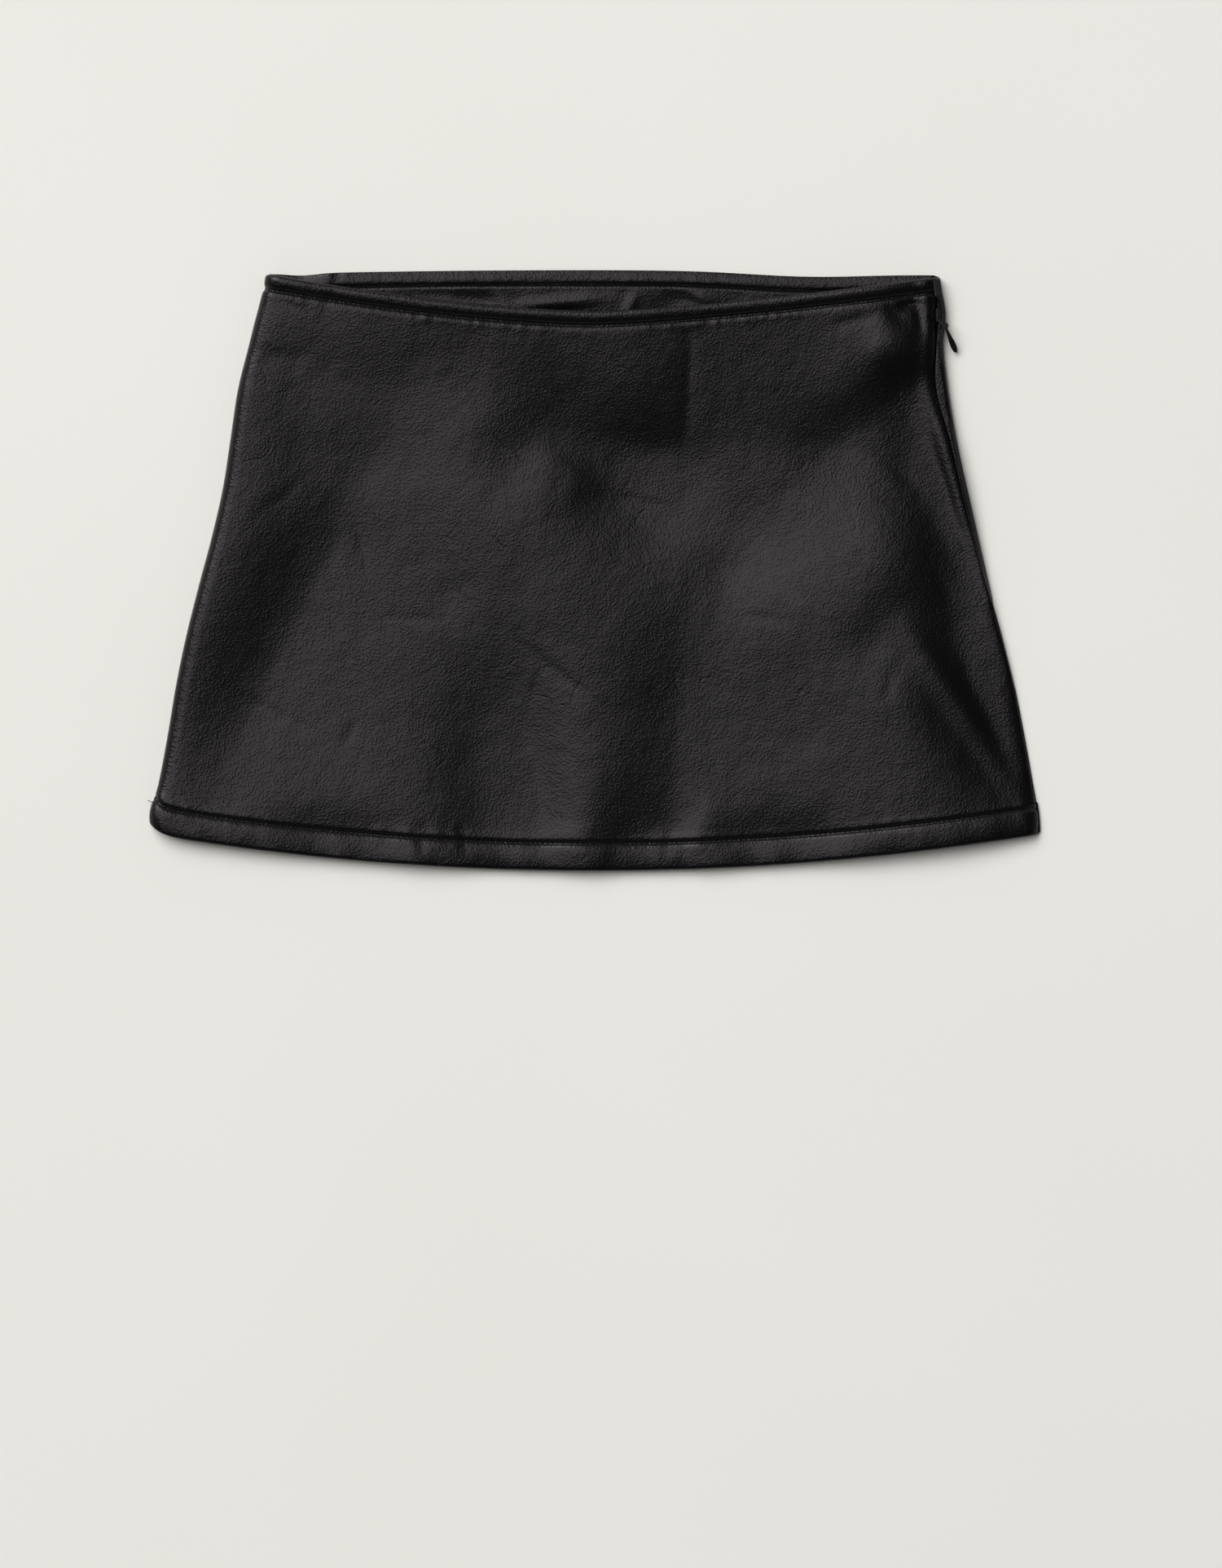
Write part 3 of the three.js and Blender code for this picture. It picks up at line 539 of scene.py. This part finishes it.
def sheet_points(base, columns, rows, seed):
    f, row = np.meshgrid(columns, np.arange(len(rows)), indexing="ij")
    share, offset, out, face = (rows[row, k] for k in range(4))
    _, length = base(f, np.zeros_like(f))
    depth = share * length + offset
    place, direction, length = outward(base, f, depth)
    relief = seam_relief(place[..., 0], depth, length - depth, seed)
    return place + direction * (out + relief * face)[..., None]


front_points = sheet_points(front_base, front_columns(), rows, FRONT_SEED)
front = quads("front_sheet", front_points, *front_points.shape[:2])
thickness(front, CLOTH, lining=1)
print("front:", len(front.data.polygons), "faces", "normal", front.data.polygons[9000].normal)

# %% [markdown]
# ## The back panel
#
# The back lies under the front, flat on the table. Its path across the skirt begins at the left
# seam, runs flat to the zip's side, turns up and over in an arc and ends in a fold beside the zip,
# where it shows as a narrow strip. The path is worked out by its length, so columns stay even
# round the arc. Where it lies free of the table it has shallow folds too.

# %% Places on the back
FLAT_COLUMNS = 132
END_RADIUS = 0.56  # of the fold that ends the strip beside the zip
TAIL = 3.0  # length of cloth that runs back under that fold
BACK_FOLDS = {
    "long fold": (60, 10, 84, 80, 22, 22, 0.9, 2),
    "slant at the left": (-120, -40, 58, 70, 15, 22.5, 0.8, 2),
    "slant at the right": (150, -70, -56, 60, 13.3, 20, 0.8, 2),
    "hem flute": (-30, -140, 88, 40, 16, 16, 0.9, 2),
    "under the waist": (-60, 110, -14, 50, 16, 16, 0.7, 2),
    "second hem flute": (100, -145, 92, 34, 14, 14, 0.7, 2),
    "crease by the waist": (105, 105, 80, 34, 5, 11.7, 0.5, 2),
}


def back_columns():
    """Columns as (part of the path, share of that part)."""
    left_roll = [(0, s) for s in np.linspace(0, 1, 6)[:-1]]
    flat = [(1, s) for s in np.linspace(0, 1, FLAT_COLUMNS)]
    turn = [(2, s) for s in np.linspace(0, 1, 19)[1:]]
    fold = [(3, s) for s in np.linspace(0, 1, 8)[1:]]
    under = [(4, s) for s in (0.5, 1)]
    return np.array(left_roll + flat + turn + fold + under)


def back_base(part, share, depth):
    """Points of the back's skin, which faces down, and the direction out of it."""
    across = np.where(part < 1, 0, np.where(part > 1, 1, share))
    x_top = WAIST_START + across * (194.4 - TURN_RADIUS - WAIST_START)
    top = back_waist(x_top) - 2.5 * (part >= 2) * np.where(part == 2, share, 1)
    bottom = hem(-HEM_HALF + across * 2 * HEM_HALF) + 1.2
    y = top - depth
    left, right = level(y, "left"), level(y, "right")
    roll = seam_height(y) - 0.1
    flat_start, flat_end = left + roll, right - TURN_RADIUS
    angle, run = back_turn(y)
    roll_angle = np.pi / 2 * (1 - share)
    path = share * (angle * TURN_RADIUS + run)
    turned = np.minimum(path / TURN_RADIUS, angle)
    straight = np.maximum(path - angle * TURN_RADIUS, 0)
    lifted = folds(left + across * (right - left), y, BACK_FOLDS)
    lifted = lifted * np.clip(across / 0.05, 0, 1) * np.clip((1 - across) / 0.05, 0, 1)
    end_x = flat_end + TURN_RADIUS * np.sin(angle) + run * np.cos(angle)
    end_z = TURN_RADIUS * (1 - np.cos(angle)) + run * np.sin(angle)
    round_angle = np.pi * share
    fold_in = np.where(part == 4, 2 * END_RADIUS, END_RADIUS * (1 - np.cos(round_angle)))
    tail = -TAIL * share * np.clip(angle / (np.pi / 2), 0, 1) ** 2
    fold_forward = np.where(part == 4, tail, END_RADIUS * np.sin(round_angle))
    x = np.select(
        [part == 0, part == 1, part == 2],
        [
            flat_start - roll * np.sin(roll_angle),
            flat_start + share * (flat_end - flat_start),
            flat_end + TURN_RADIUS * np.sin(turned) + straight * np.cos(angle),
        ],
        end_x + fold_forward * np.cos(angle) - fold_in * np.sin(angle),
    )
    z = np.select(
        [part == 0, part == 1, part == 2],
        [
            roll * (1 - np.cos(roll_angle)),
            lifted,
            TURN_RADIUS * (1 - np.cos(turned)) + straight * np.sin(angle),
        ],
        end_z + fold_forward * np.sin(angle) + fold_in * np.cos(angle),
    )
    parts = [part == 0, part == 1, part == 2, part == 3]
    lean = np.select(parts, [-roll_angle, 0 * x, turned, angle + round_angle], angle + np.pi)
    out = np.stack([np.sin(lean), 0 * x, -np.cos(lean)], axis=-1)
    return np.stack([x, y, z], axis=-1), out, top - bottom


# %% Back panel with its turned waist and hem
def back_relief(along, from_waist, from_hem):
    """The back's turned waist edge swells on the inside, which shows above the front waist."""
    waist_line = from_waist - WAIST_TURNING
    swell = 0.5 * np.sin(np.pi * np.clip(from_waist / (WAIST_TURNING + 1.2), 0, 1)) ** 0.8
    gathers = 0.3 * pucker(along, 5, 14, 31) * near(waist_line + 2.4, 2.4)
    tuck = 0.9 * near(along + 149.5, 2.6) - 0.8 * near(along + 144.6, 1.5) + 0.4 * near(along + 141.5, 1.6)
    narrow = 1.1 * near(along + 166, 11)
    return swell - 0.5 * near(waist_line, 0.7) + gathers + (tuck - narrow) * np.clip(1 - from_waist / 9, 0, 1)


back_rows = turned_rows(9.6, 17, 3.2)
columns = back_columns()
c, r = np.meshgrid(np.arange(len(columns)), np.arange(len(back_rows)), indexing="ij")
part, share = columns[c, 0], columns[c, 1]
row_share, offset, out, face = (back_rows[r, k] for k in range(4))
_, _, length = back_base(part, share, np.zeros_like(share))
depth = row_share * length + offset
place, direction, length = back_base(part, share, depth)
inside = np.where(row_share == 0, np.clip(-out / (2 * TURN), 0, 1), 0)
past_fold = np.select([part < 3, part == 3], [0 * share, share], 1)
out = out * (1 + np.cos(np.pi * past_fold)) / 2  # past its end fold the sheet has no turned edge
moved = out - back_relief(place[..., 0], depth, length - depth) * inside * (part < 2)
groove = 0.4 * near(depth - WAIST_TURNING, 0.7) + 0.4 * near(length - depth - HEM_TURNING, 0.7)
moved = moved - groove * (face == 1) * (part < 3)
back_points = place + direction * moved[..., None]
tail_height = np.where(part == 4, CLOTH, 0)  # the turned end stays over the table
back_points[..., 2] = np.maximum(back_points[..., 2], tail_height)
back = quads("back_sheet", back_points, *back_points.shape[:2], skin_up=False)
thickness(back, CLOTH, lining=1)
print("back:", len(back.data.polygons), "faces", "normal", back.data.polygons[9000].normal)

# %% [markdown]
# ## The facing inside the back waist
#
# Above the front waist the inside of the back shows. It is grained as the outside is, so there
# is a facing, a strip of the same leather that is sewn in with the turned waist edge. It lies
# loosely on the back and has a few creases of its own.

# %% Facing
FACING_FOLDS = {
    "arch": (-18, 151, 4, 24, 3.2, 3.2, 0.8, 2),
    "second arch": (-20, 146, 2, 15, 2.2, 2.2, -0.6, 2),
    "left sag": (-75, 154, -4, 30, 4.5, 4.5, -0.6, 2),
    "right sag": (45, 150, 20, 14, 6, 6, -0.8, 2),
    "right arch": (58, 155, -24, 14, 3.5, 3.5, 0.6, 2),
    "slant": (20, 148, 62, 9, 3, 3, 0.7, 2),
    "left slant": (-50, 149, -55, 9, 3, 3, 0.6, 2),
}
facing_columns = np.linspace(-0.965, 0.80, 150)
facing_depths = np.array(steps(9.0, 41, 1.6))
u, d = np.meshgrid(facing_columns, facing_depths, indexing="ij")
x = u * 183
y = back_waist(x) - d
z = 3.1 - 0.05 * (d - 9) + folds(x, y, FACING_FOLDS) + 0.12 * waves(x, y, 12, 40, 17)
facing = quads("waist_facing", np.stack([x, y, np.clip(z, 1.8, 4)], axis=-1), *u.shape)
thickness(facing, 0.6)
print("facing:", len(facing.data.polygons), "faces", "normal", facing.data.polygons[900].normal)

# %% [markdown]
# ## Topstitching
#
# A line of machine stitches holds each turned edge. Black thread on black leather is seen less by
# its colour than by its rhythm: short raised stitches with a needle hole between them, sunk in
# the groove that the thread pulls. So every stitch is a small rounded body, laid along the groove
# and slightly uneven. There are several hundred, so each has only 30 faces.

# %% Stitches along a line on a sheet
STITCH_PITCH = 2.8
STITCH_LONG = 2.15
STITCH_WIDE = 0.75
STITCH_HIGH = 0.5


def stitch_line(name, points, directions, seed):
    """One object with a stitch between each point and the next. Sizes in millimetres."""
    maker = random.Random(seed)
    bm = bmesh.new()
    for start, end, direction in zip(points[:-1], points[1:], directions[:-1]):
        run = Vector(end) - Vector(start)
        up = Vector(direction)
        side = up.cross(run).normalized()
        along = side.cross(up).normalized()
        turn = Matrix((along, side, up)).transposed().to_4x4()
        turn = turn @ Matrix.Rotation(math.radians(maker.uniform(-5, 5)), 4, "Z")
        size = (
            STITCH_LONG * maker.uniform(0.92, 1.04) / 2 * MM,
            STITCH_WIDE * maker.uniform(0.9, 1.08) / 2 * MM,
            STITCH_HIGH / 2 * MM,
        )
        middle = (Vector(start) + Vector(end)) / 2 * MM
        place = Matrix.Translation(middle) @ turn @ Matrix.Diagonal((*size, 1))
        bmesh.ops.create_uvsphere(bm, u_segments=6, v_segments=5, radius=1, matrix=place)
    return piece_from(bm, name)


def even_shares(start, end, length):
    """Shares of a width that are one stitch apart."""
    return np.linspace(start, end, round((end - start) * length / STITCH_PITCH) + 1)


# %% Stitches of the front's waist and hem
def front_line(shares, from_waist=None, from_hem=None):
    depth = np.full_like(shares, from_waist or 0.0)
    if from_hem:
        _, length = front_base(shares, depth)
        depth = length - from_hem
    place, direction, length = outward(front_base, shares, depth)
    relief = seam_relief(place[:, 0], depth, length - depth, FRONT_SEED)
    return place + direction * (relief + 0.06)[:, None], direction


waist_shares = even_shares(0.012, 0.985, WAIST_LENGTH)
hem_shares = even_shares(0.008, 0.992, HEM_LENGTH)
line = front_line(waist_shares, from_waist=WAIST_TURNING)
front_waist_stitches = stitch_line("front_waist_stitches", *line, 3)
line = front_line(hem_shares, from_hem=HEM_TURNING)
front_hem_stitches = stitch_line("front_hem_stitches", *line, 4)
print("front:", len(waist_shares) - 1, "stitches at the waist and", len(hem_shares) - 1, "at the hem")

# %% Stitches of the back's waist and hem
def back_line(shares, inside, from_waist=None, from_hem=None):
    """The inside shows at the waist, the outside under the hem."""
    flat_part = np.ones_like(shares)
    depth = np.full_like(shares, from_waist or 0.0)
    if from_hem:
        _, _, length = back_base(flat_part, shares, depth)
        depth = length - from_hem
    place, direction, length = back_base(flat_part, shares, depth)
    if inside:
        out = -2 * TURN - back_relief(place[:, 0], depth, length - depth) - 0.02
        return place + direction * out[:, None], -direction
    return place - direction * 0.22, direction


waist_shares = even_shares(0.02, 0.975, WAIST_LENGTH)
line = back_line(waist_shares, True, from_waist=WAIST_TURNING)
back_waist_stitches = stitch_line("back_waist_stitches", *line, 5)
line = back_line(waist_shares, False, from_waist=WAIST_TURNING)
back_waist_outside = stitch_line("back_waist_outside_stitches", *line, 6)
line = back_line(even_shares(0.01, 0.99, HEM_LENGTH), False, from_hem=HEM_TURNING)
back_hem_stitches = stitch_line("back_hem_stitches", *line, 7)
print("back:", len(back_hem_stitches.data.polygons) // 30, "stitches at the hem")

# %% [markdown]
# ## A loose thread end
#
# At the left end of the hem the sewing stops at the side seam and a short end of thread sticks
# out. It is a ring that is extruded along a gentle bend, and its end is closed.

# %% Thread end at the hem's left corner
def thread_end(name, path, radius):
    """A thread through a few points, by extruding a ring from each to the next."""
    bm = bmesh.new()
    ring = bmesh.ops.create_circle(bm, cap_ends=True, segments=6, radius=radius * MM)["verts"]
    aim = (Vector(path[1]) - Vector(path[0])).to_track_quat("Z", "Y").to_matrix()
    bmesh.ops.rotate(bm, verts=ring, cent=(0, 0, 0), matrix=aim)
    bmesh.ops.translate(bm, verts=ring, vec=Vector(path[0]) * MM)
    face = bm.faces[:][0]
    for start, end in zip(path[:-1], path[1:]):
        made = bmesh.ops.extrude_face_region(bm, geom=[face])["geom"]
        bmesh.ops.delete(bm, geom=[face], context="FACES_ONLY")
        face = next(part for part in made if isinstance(part, bmesh.types.BMFace))
        bmesh.ops.translate(bm, verts=face.verts[:], vec=(Vector(end) - Vector(start)) * MM)
    hole = [edge for edge in bm.edges if edge.is_boundary]
    bmesh.ops.holes_fill(bm, edges=hole, sides=8)
    bmesh.ops.recalc_face_normals(bm, faces=bm.faces[:])
    return piece_from(bm, name)


THREAD_PATH = [
    (-246.5, -131.2, 2.2),
    (-248.2, -130.9, 2.4),
    (-249.6, -130.6, 2.3),
    (-250.7, -129.9, 1.9),
    (-251.6, -129.8, 1.4),
]
loose_end = thread_end("loose_thread_end", THREAD_PATH, 0.22)
print("thread end:", len(loose_end.data.polygons), "faces")

# %% [markdown]
# ## The zip
#
# An invisible zip closes the side. Its two woven tapes are sewn inside the two edges, and its coil
# lies under them, so that little of it shows. The tapes follow the opening, row by row, and the
# coil's turns are small rounded blocks that come by turns from the left and the right tape.

# %% Zip tapes
ZIP_TOP, ZIP_BOTTOM = 155, 10
TAPE_WIDE = 6.5
TAPE_TOP = 3.4


def zip_middle(y):
    edge_x, _ = front_edge(y)
    return np.minimum(edge_x + level(y, "gap") / 2, level(y, "right") - 3.9)


def tape(name, left, right):
    """A woven tape between two lines, with a slight ripple and a bound edge."""
    share = np.array([0, 0.06, 0.2, 0.4, 0.6, 0.8, 0.94, 1])
    heights = np.linspace(ZIP_TOP, ZIP_BOTTOM, 98)
    s, y = np.meshgrid(share, heights, indexing="ij")
    x = left(y) + s * (right(y) - left(y))
    edge = np.where((s < 0.1) | (s > 0.9), 0.05, 0)
    z = TAPE_TOP + edge + 0.05 * np.sin(y / 4.3) + 0.04 * np.sin(y / 1.9 + 1)
    piece = quads(name, np.stack([x, y, z], axis=-1), *s.shape)
    thickness(piece, 0.5)
    return piece


front_tape = tape("front_zip_tape", lambda y: zip_middle(y) - 0.2 - TAPE_WIDE, lambda y: zip_middle(y) - 0.2)
back_tape = tape("back_zip_tape", lambda y: zip_middle(y) + 0.2, lambda y: level(y, "right") - 1.7)
print("tapes:", len(front_tape.data.polygons), "faces each")

# %% Coil below the slider
COIL_PITCH = 1.15
COIL_TOP = 137.5
TURN_SIZE = (1.55, 0.62, 0.8)

bm = bmesh.new()
for i in range(round((COIL_TOP - ZIP_BOTTOM) / COIL_PITCH)):
    y = COIL_TOP - i * COIL_PITCH
    side = 1 if i % 2 else -1
    middle = Vector((float(zip_middle(np.array(y))) + side * 0.42, y, 1.95)) * MM
    size = Matrix.Diagonal((*(Vector(TURN_SIZE) * MM), 1))
    bmesh.ops.create_cube(bm, size=1, matrix=Matrix.Translation(middle) @ size)
bmesh.ops.bevel(
    bm, geom=bm.edges[:], offset=0.17 * MM, segments=1, profile=0.5, affect="EDGES", material=-1
)
coil = piece_from(bm, "zip_coil")
print("coil:", len(coil.data.polygons), "faces")

# %% [markdown]
# ## Helpers for the finishes
#
# Every finish is made of nodes that read the object's own coordinates in metres, so that a pattern
# keeps its real size and stays on the piece. A small helper adds a node, sets its values and links
# its sockets, which keeps each finish short enough to read.

# %% Node helpers
def finish(name, colour, rough, specular, tint=(1, 1, 1)):
    """A new material with its plain shader values."""
    material = bpy.data.materials.new(name)
    material.use_nodes = True
    shader = material.node_tree.nodes["Principled BSDF"]
    shader.inputs["Base Color"].default_value = (*colour, 1)
    shader.inputs["Roughness"].default_value = rough
    shader.inputs["Specular IOR Level"].default_value = specular
    shader.inputs["Specular Tint"].default_value = (*tint, 1)
    return material, material.node_tree, shader


def add(tree, kind, sockets=None, **settings):
    """Adds a node. A socket's value is a number, a colour or another node's output."""
    made = tree.nodes.new("ShaderNode" + kind)
    for key, value in settings.items():
        setattr(made, key, value)
    for key, value in (sockets or {}).items():
        if isinstance(value, bpy.types.NodeSocket):
            tree.links.new(value, made.inputs[key])
        else:
            made.inputs[key].default_value = value
    return made


def ramp(tree, value, low, high, to_low=0.0, to_high=1.0):
    """Maps low to high onto to_low to to_high, smoothly."""
    sockets = {0: value, 1: low, 2: high, 3: to_low, 4: to_high}
    return add(tree, "MapRange", sockets, interpolation_type="SMOOTHSTEP").outputs[0]


def maths(tree, operation, a, b=0.0):
    return add(tree, "Math", {0: a, 1: b}, operation=operation).outputs[0]


def bump(tree, shader, height, distance, strength=1.0, before=None):
    """Raises the surface by distance, in millimetres, where height is 1."""
    sockets = {"Height": height, "Distance": distance * MM, "Strength": strength}
    if before:
        sockets["Normal"] = before
    made = add(tree, "Bump", sockets).outputs["Normal"]
    tree.links.new(made, shader.inputs["Normal"])
    return made


# %% [markdown]
# ## Grained leather
#
# The skin of faux leather is pressed with a pebble grain: rounded domes of about 1.4 mm with
# valleys between them. A Voronoi pattern gives such domes once its coordinates are warped
# a little by noise. The domes are rubbed and shine more than the valleys, and in some patches
# the grain is shallower. A broader unevenness of about a centimetre breaks up the
# reflections, and in a few worn patches the skin has fine wrinkles. The colour is almost
# black, so all that the eye sees is the light on the grain.

# %% Leather
def leather(name, seed, colour=(0.0018, 0.0016, 0.0019)):
    material, tree, shader = finish(name, colour, 0.30, 0.28, (1.0, 0.94, 1.0))
    place = add(tree, "TexCoord").outputs["Object"]
    place = add(tree, "Mapping", {"Vector": place, "Location": (seed * 0.37, seed * 0.11, 0)}).outputs[0]
    warp = add(tree, "TexNoise", {"Vector": place, "Scale": 300.0, "Detail": 2.0}).outputs["Color"]
    warp = add(tree, "VectorMath", {0: warp, 1: (0.5, 0.5, 0.5)}, operation="SUBTRACT").outputs[0]
    warp = add(tree, "VectorMath", {0: warp, "Scale": 0.0007}, operation="SCALE").outputs[0]
    bent = add(tree, "VectorMath", {0: place, 1: warp}, operation="ADD").outputs[0]
    cell = add(tree, "TexVoronoi", {"Vector": bent, "Scale": 700.0}).outputs["Distance"]
    pebble = ramp(tree, cell, 0.62, 0.16)
    patch = add(tree, "TexNoise", {"Vector": place, "Scale": 22.0, "Detail": 3.0}).outputs[0]
    patch = ramp(tree, patch, 0.38, 0.62, 0.8, 1.0)
    fine = add(tree, "TexNoise", {"Vector": place, "Scale": 1900.0, "Detail": 3.0}).outputs[0]
    grain = maths(tree, "MULTIPLY", maths(tree, "ADD", pebble, maths(tree, "MULTIPLY", fine, 0.3)), patch)
    lines = {"Vector": place, "Scale": 34.0, "Detail": 2.5, "Distortion": 0.5}
    bent_line = add(tree, "TexNoise", lines).outputs[0]
    line = ramp(tree, maths(tree, "ABSOLUTE", maths(tree, "SUBTRACT", bent_line, 0.5)), 0.0, 0.014, 1.0, 0.0)
    worn = add(tree, "TexNoise", {"Vector": place, "Scale": 30.0, "Detail": 2.0}).outputs[0]
    wrinkle = maths(tree, "MULTIPLY", line, ramp(tree, worn, 0.52, 0.66))
    soft = add(tree, "TexNoise", {"Vector": place, "Scale": 110.0, "Detail": 2.0}).outputs[0]
    normal = bump(tree, shader, soft, 0.19)
    normal = bump(tree, shader, maths(tree, "SUBTRACT", 1.0, wrinkle), 0.06, before=normal)
    bump(tree, shader, grain, 0.068, before=normal)
    valley = maths(tree, "MULTIPLY", maths(tree, "SUBTRACT", 1.0, pebble), patch)
    tree.links.new(ramp(tree, valley, 0.1, 1.0, 0.21, 0.29), shader.inputs["Roughness"])
    return material


outer_leather = leather("outer_leather", 1)
facing_leather = leather("facing_leather", 2, (0.003, 0.0027, 0.003))
print("leather:", len(outer_leather.node_tree.nodes), "nodes")

# %% [markdown]
# ## Knitted back, tape, coil, enamel and thread
#
# The leather's skin is carried by a thin knitted cloth, which shows only at raw edges and on the
# inside. Its loops are two crossed waves. The tape is woven, so its waves are finer and cross
# squarely. The coil is nylon with a dull shine. Slider and tab are black enamel on metal with
# faint orange-peel. Thread is twisted, so its bands run at a slant.

# %% Knit and tape
def woven(name, colour, per_metre, slant, depth):
    """Cloth of two crossed sets of ribs, per_metre of each, over a fuzzy ground."""
    material, tree, shader = finish(name, colour, 0.86, 0.2)
    place = add(tree, "TexCoord").outputs["Object"]
    turned = add(tree, "Mapping", {"Vector": place, "Rotation": (0, 0, slant)}).outputs[0]
    wave = {"Vector": turned, "Scale": per_metre, "Distortion": 0.6}
    along = add(tree, "TexWave", wave, bands_direction="X")
    across = add(tree, "TexWave", wave, bands_direction="Y")
    ribs = maths(tree, "MULTIPLY", along.outputs["Fac"], across.outputs["Fac"])
    fuzz = add(tree, "TexNoise", {"Vector": place, "Scale": per_metre * 9, "Detail": 3.0}).outputs[0]
    height = maths(tree, "ADD", ribs, maths(tree, "MULTIPLY", fuzz, 0.35))
    bump(tree, shader, height, depth)
    # Painted shade and light: the cloth's colour is darker in the hollows between the ribs and paler on their
    # crests, as the light falls.
    painted_shade_colour = (*[c * 0.55 for c in colour], 1)
    painted_light_colour = (*[c * 1.3 for c in colour], 1)
    tint = add(tree, "Mix", {0: ribs, 6: painted_shade_colour, 7: painted_light_colour}, data_type="RGBA")
    tree.links.new(tint.outputs[2], shader.inputs["Base Color"])
    shader.inputs["Sheen Weight"].default_value = 0.15
    return material


knit_backing = woven("knit_backing", (0.012, 0.012, 0.013), 330.0, 0.0, 0.2)
zip_cloth = woven("zip_cloth", (0.008, 0.008, 0.009), 620.0, 0.0, 0.08)

# %% Coil, enamel and thread
def speckled(name, colour, rough, specular, scale, depth, tint=(1, 1, 1)):
    """A hard finish with a fine uneven surface and a roughness that varies with it."""
    material, tree, shader = finish(name, colour, rough, specular, tint)
    place = add(tree, "TexCoord").outputs["Object"]
    speck = add(tree, "TexNoise", {"Vector": place, "Scale": scale, "Detail": 4.0}).outputs[0]
    bump(tree, shader, speck, depth)
    tree.links.new(ramp(tree, speck, 0.3, 0.7, rough - 0.07, rough + 0.09), shader.inputs["Roughness"])
    return material, tree, shader


zip_teeth, _, _ = speckled("zip_teeth", (0.006, 0.006, 0.007), 0.45, 0.4, 2500.0, 0.03)
zip_enamel, tree, shader = speckled("zip_enamel", (0.006, 0.005, 0.0045), 0.34, 0.16, 1300.0, 0.02)
shader.inputs["Coat Weight"].default_value = 0.04
shader.inputs["Coat Roughness"].default_value = 0.25

thread, tree, shader = finish("thread", (0.003, 0.003, 0.0033), 0.85, 0.1)
place = add(tree, "TexCoord").outputs["Object"]
twisted = add(tree, "Mapping", {"Vector": place, "Rotation": (0, 0, 0.9)}).outputs[0]
plies = add(tree, "TexWave", {"Vector": twisted, "Scale": 800.0, "Distortion": 1.0}).outputs["Fac"]
bump(tree, shader, plies, 0.05)
# Painted shade and light: the thread is darker in the grooves between its plies and paler on their crests.
painted_shade_colour, painted_light_colour = (0.002, 0.002, 0.0023, 1), (0.010, 0.010, 0.011, 1)
painted_ply_shade = add(tree, "Mix", {0: plies, 6: painted_shade_colour, 7: painted_light_colour}, data_type="RGBA")
tree.links.new(painted_ply_shade.outputs[2], shader.inputs["Base Color"])
print("seven finishes made")

# %% Put on the finishes
for piece in (front, back):
    piece.data.materials.append(outer_leather)
    piece.data.materials.append(knit_backing)
facing.data.materials.append(facing_leather)
for piece in (front_tape, back_tape):
    piece.data.materials.append(zip_cloth)
coil.data.materials.append(zip_teeth)
threads = (
    front_waist_stitches,
    front_hem_stitches,
    back_waist_stitches,
    back_waist_outside,
    back_hem_stitches,
    loose_end,
)
for piece in threads:
    piece.data.materials.append(thread)
for name in ("zip_slider", "zip_pull"):
    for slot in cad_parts[name].material_slots:
        slot.material = zip_enamel
print("finishes put on")

# %% [markdown]
# ## The table
#
# The skirt lies on a pale matt table top. A faint unevenness keeps it from looking like paper.

# %% Table
floor_mesh = bpy.data.meshes.new("table")
bm = bmesh.new()
bmesh.ops.create_grid(bm, x_segments=1, y_segments=1, size=6)
bmesh.ops.translate(bm, verts=bm.verts[:], vec=(0, 0, -0.0003))
bm.to_mesh(floor_mesh)
bm.free()
floor = bpy.data.objects.new("table", floor_mesh)
scene.collection.objects.link(floor)
pale_table, tree, shader = finish("pale_table", (0.85, 0.84, 0.81), 0.8, 0.2)
place = add(tree, "TexCoord").outputs["Object"]
cloud = add(tree, "TexNoise", {"Vector": place, "Scale": 3.0, "Detail": 2.0}).outputs[0]
tone = add(tree, "Mix", {0: cloud, 6: (0.83, 0.82, 0.79, 1), 7: (0.87, 0.86, 0.835, 1)}, data_type="RGBA")
tree.links.new(tone.outputs[2], shader.inputs["Base Color"])
floor_mesh.materials.append(pale_table)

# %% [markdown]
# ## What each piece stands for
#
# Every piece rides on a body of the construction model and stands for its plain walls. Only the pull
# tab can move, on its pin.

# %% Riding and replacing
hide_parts("front_panel", "front_waist_edge", "front_hem")
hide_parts("back_panel", "back_waist_edge", "back_hem")
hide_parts("back_facing")
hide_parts("zip_tape_front")
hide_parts("zip_tape_back")
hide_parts("zip_chain")
for piece in (front, back, facing, front_tape, back_tape, coil, *threads):
    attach(piece, "skirt")
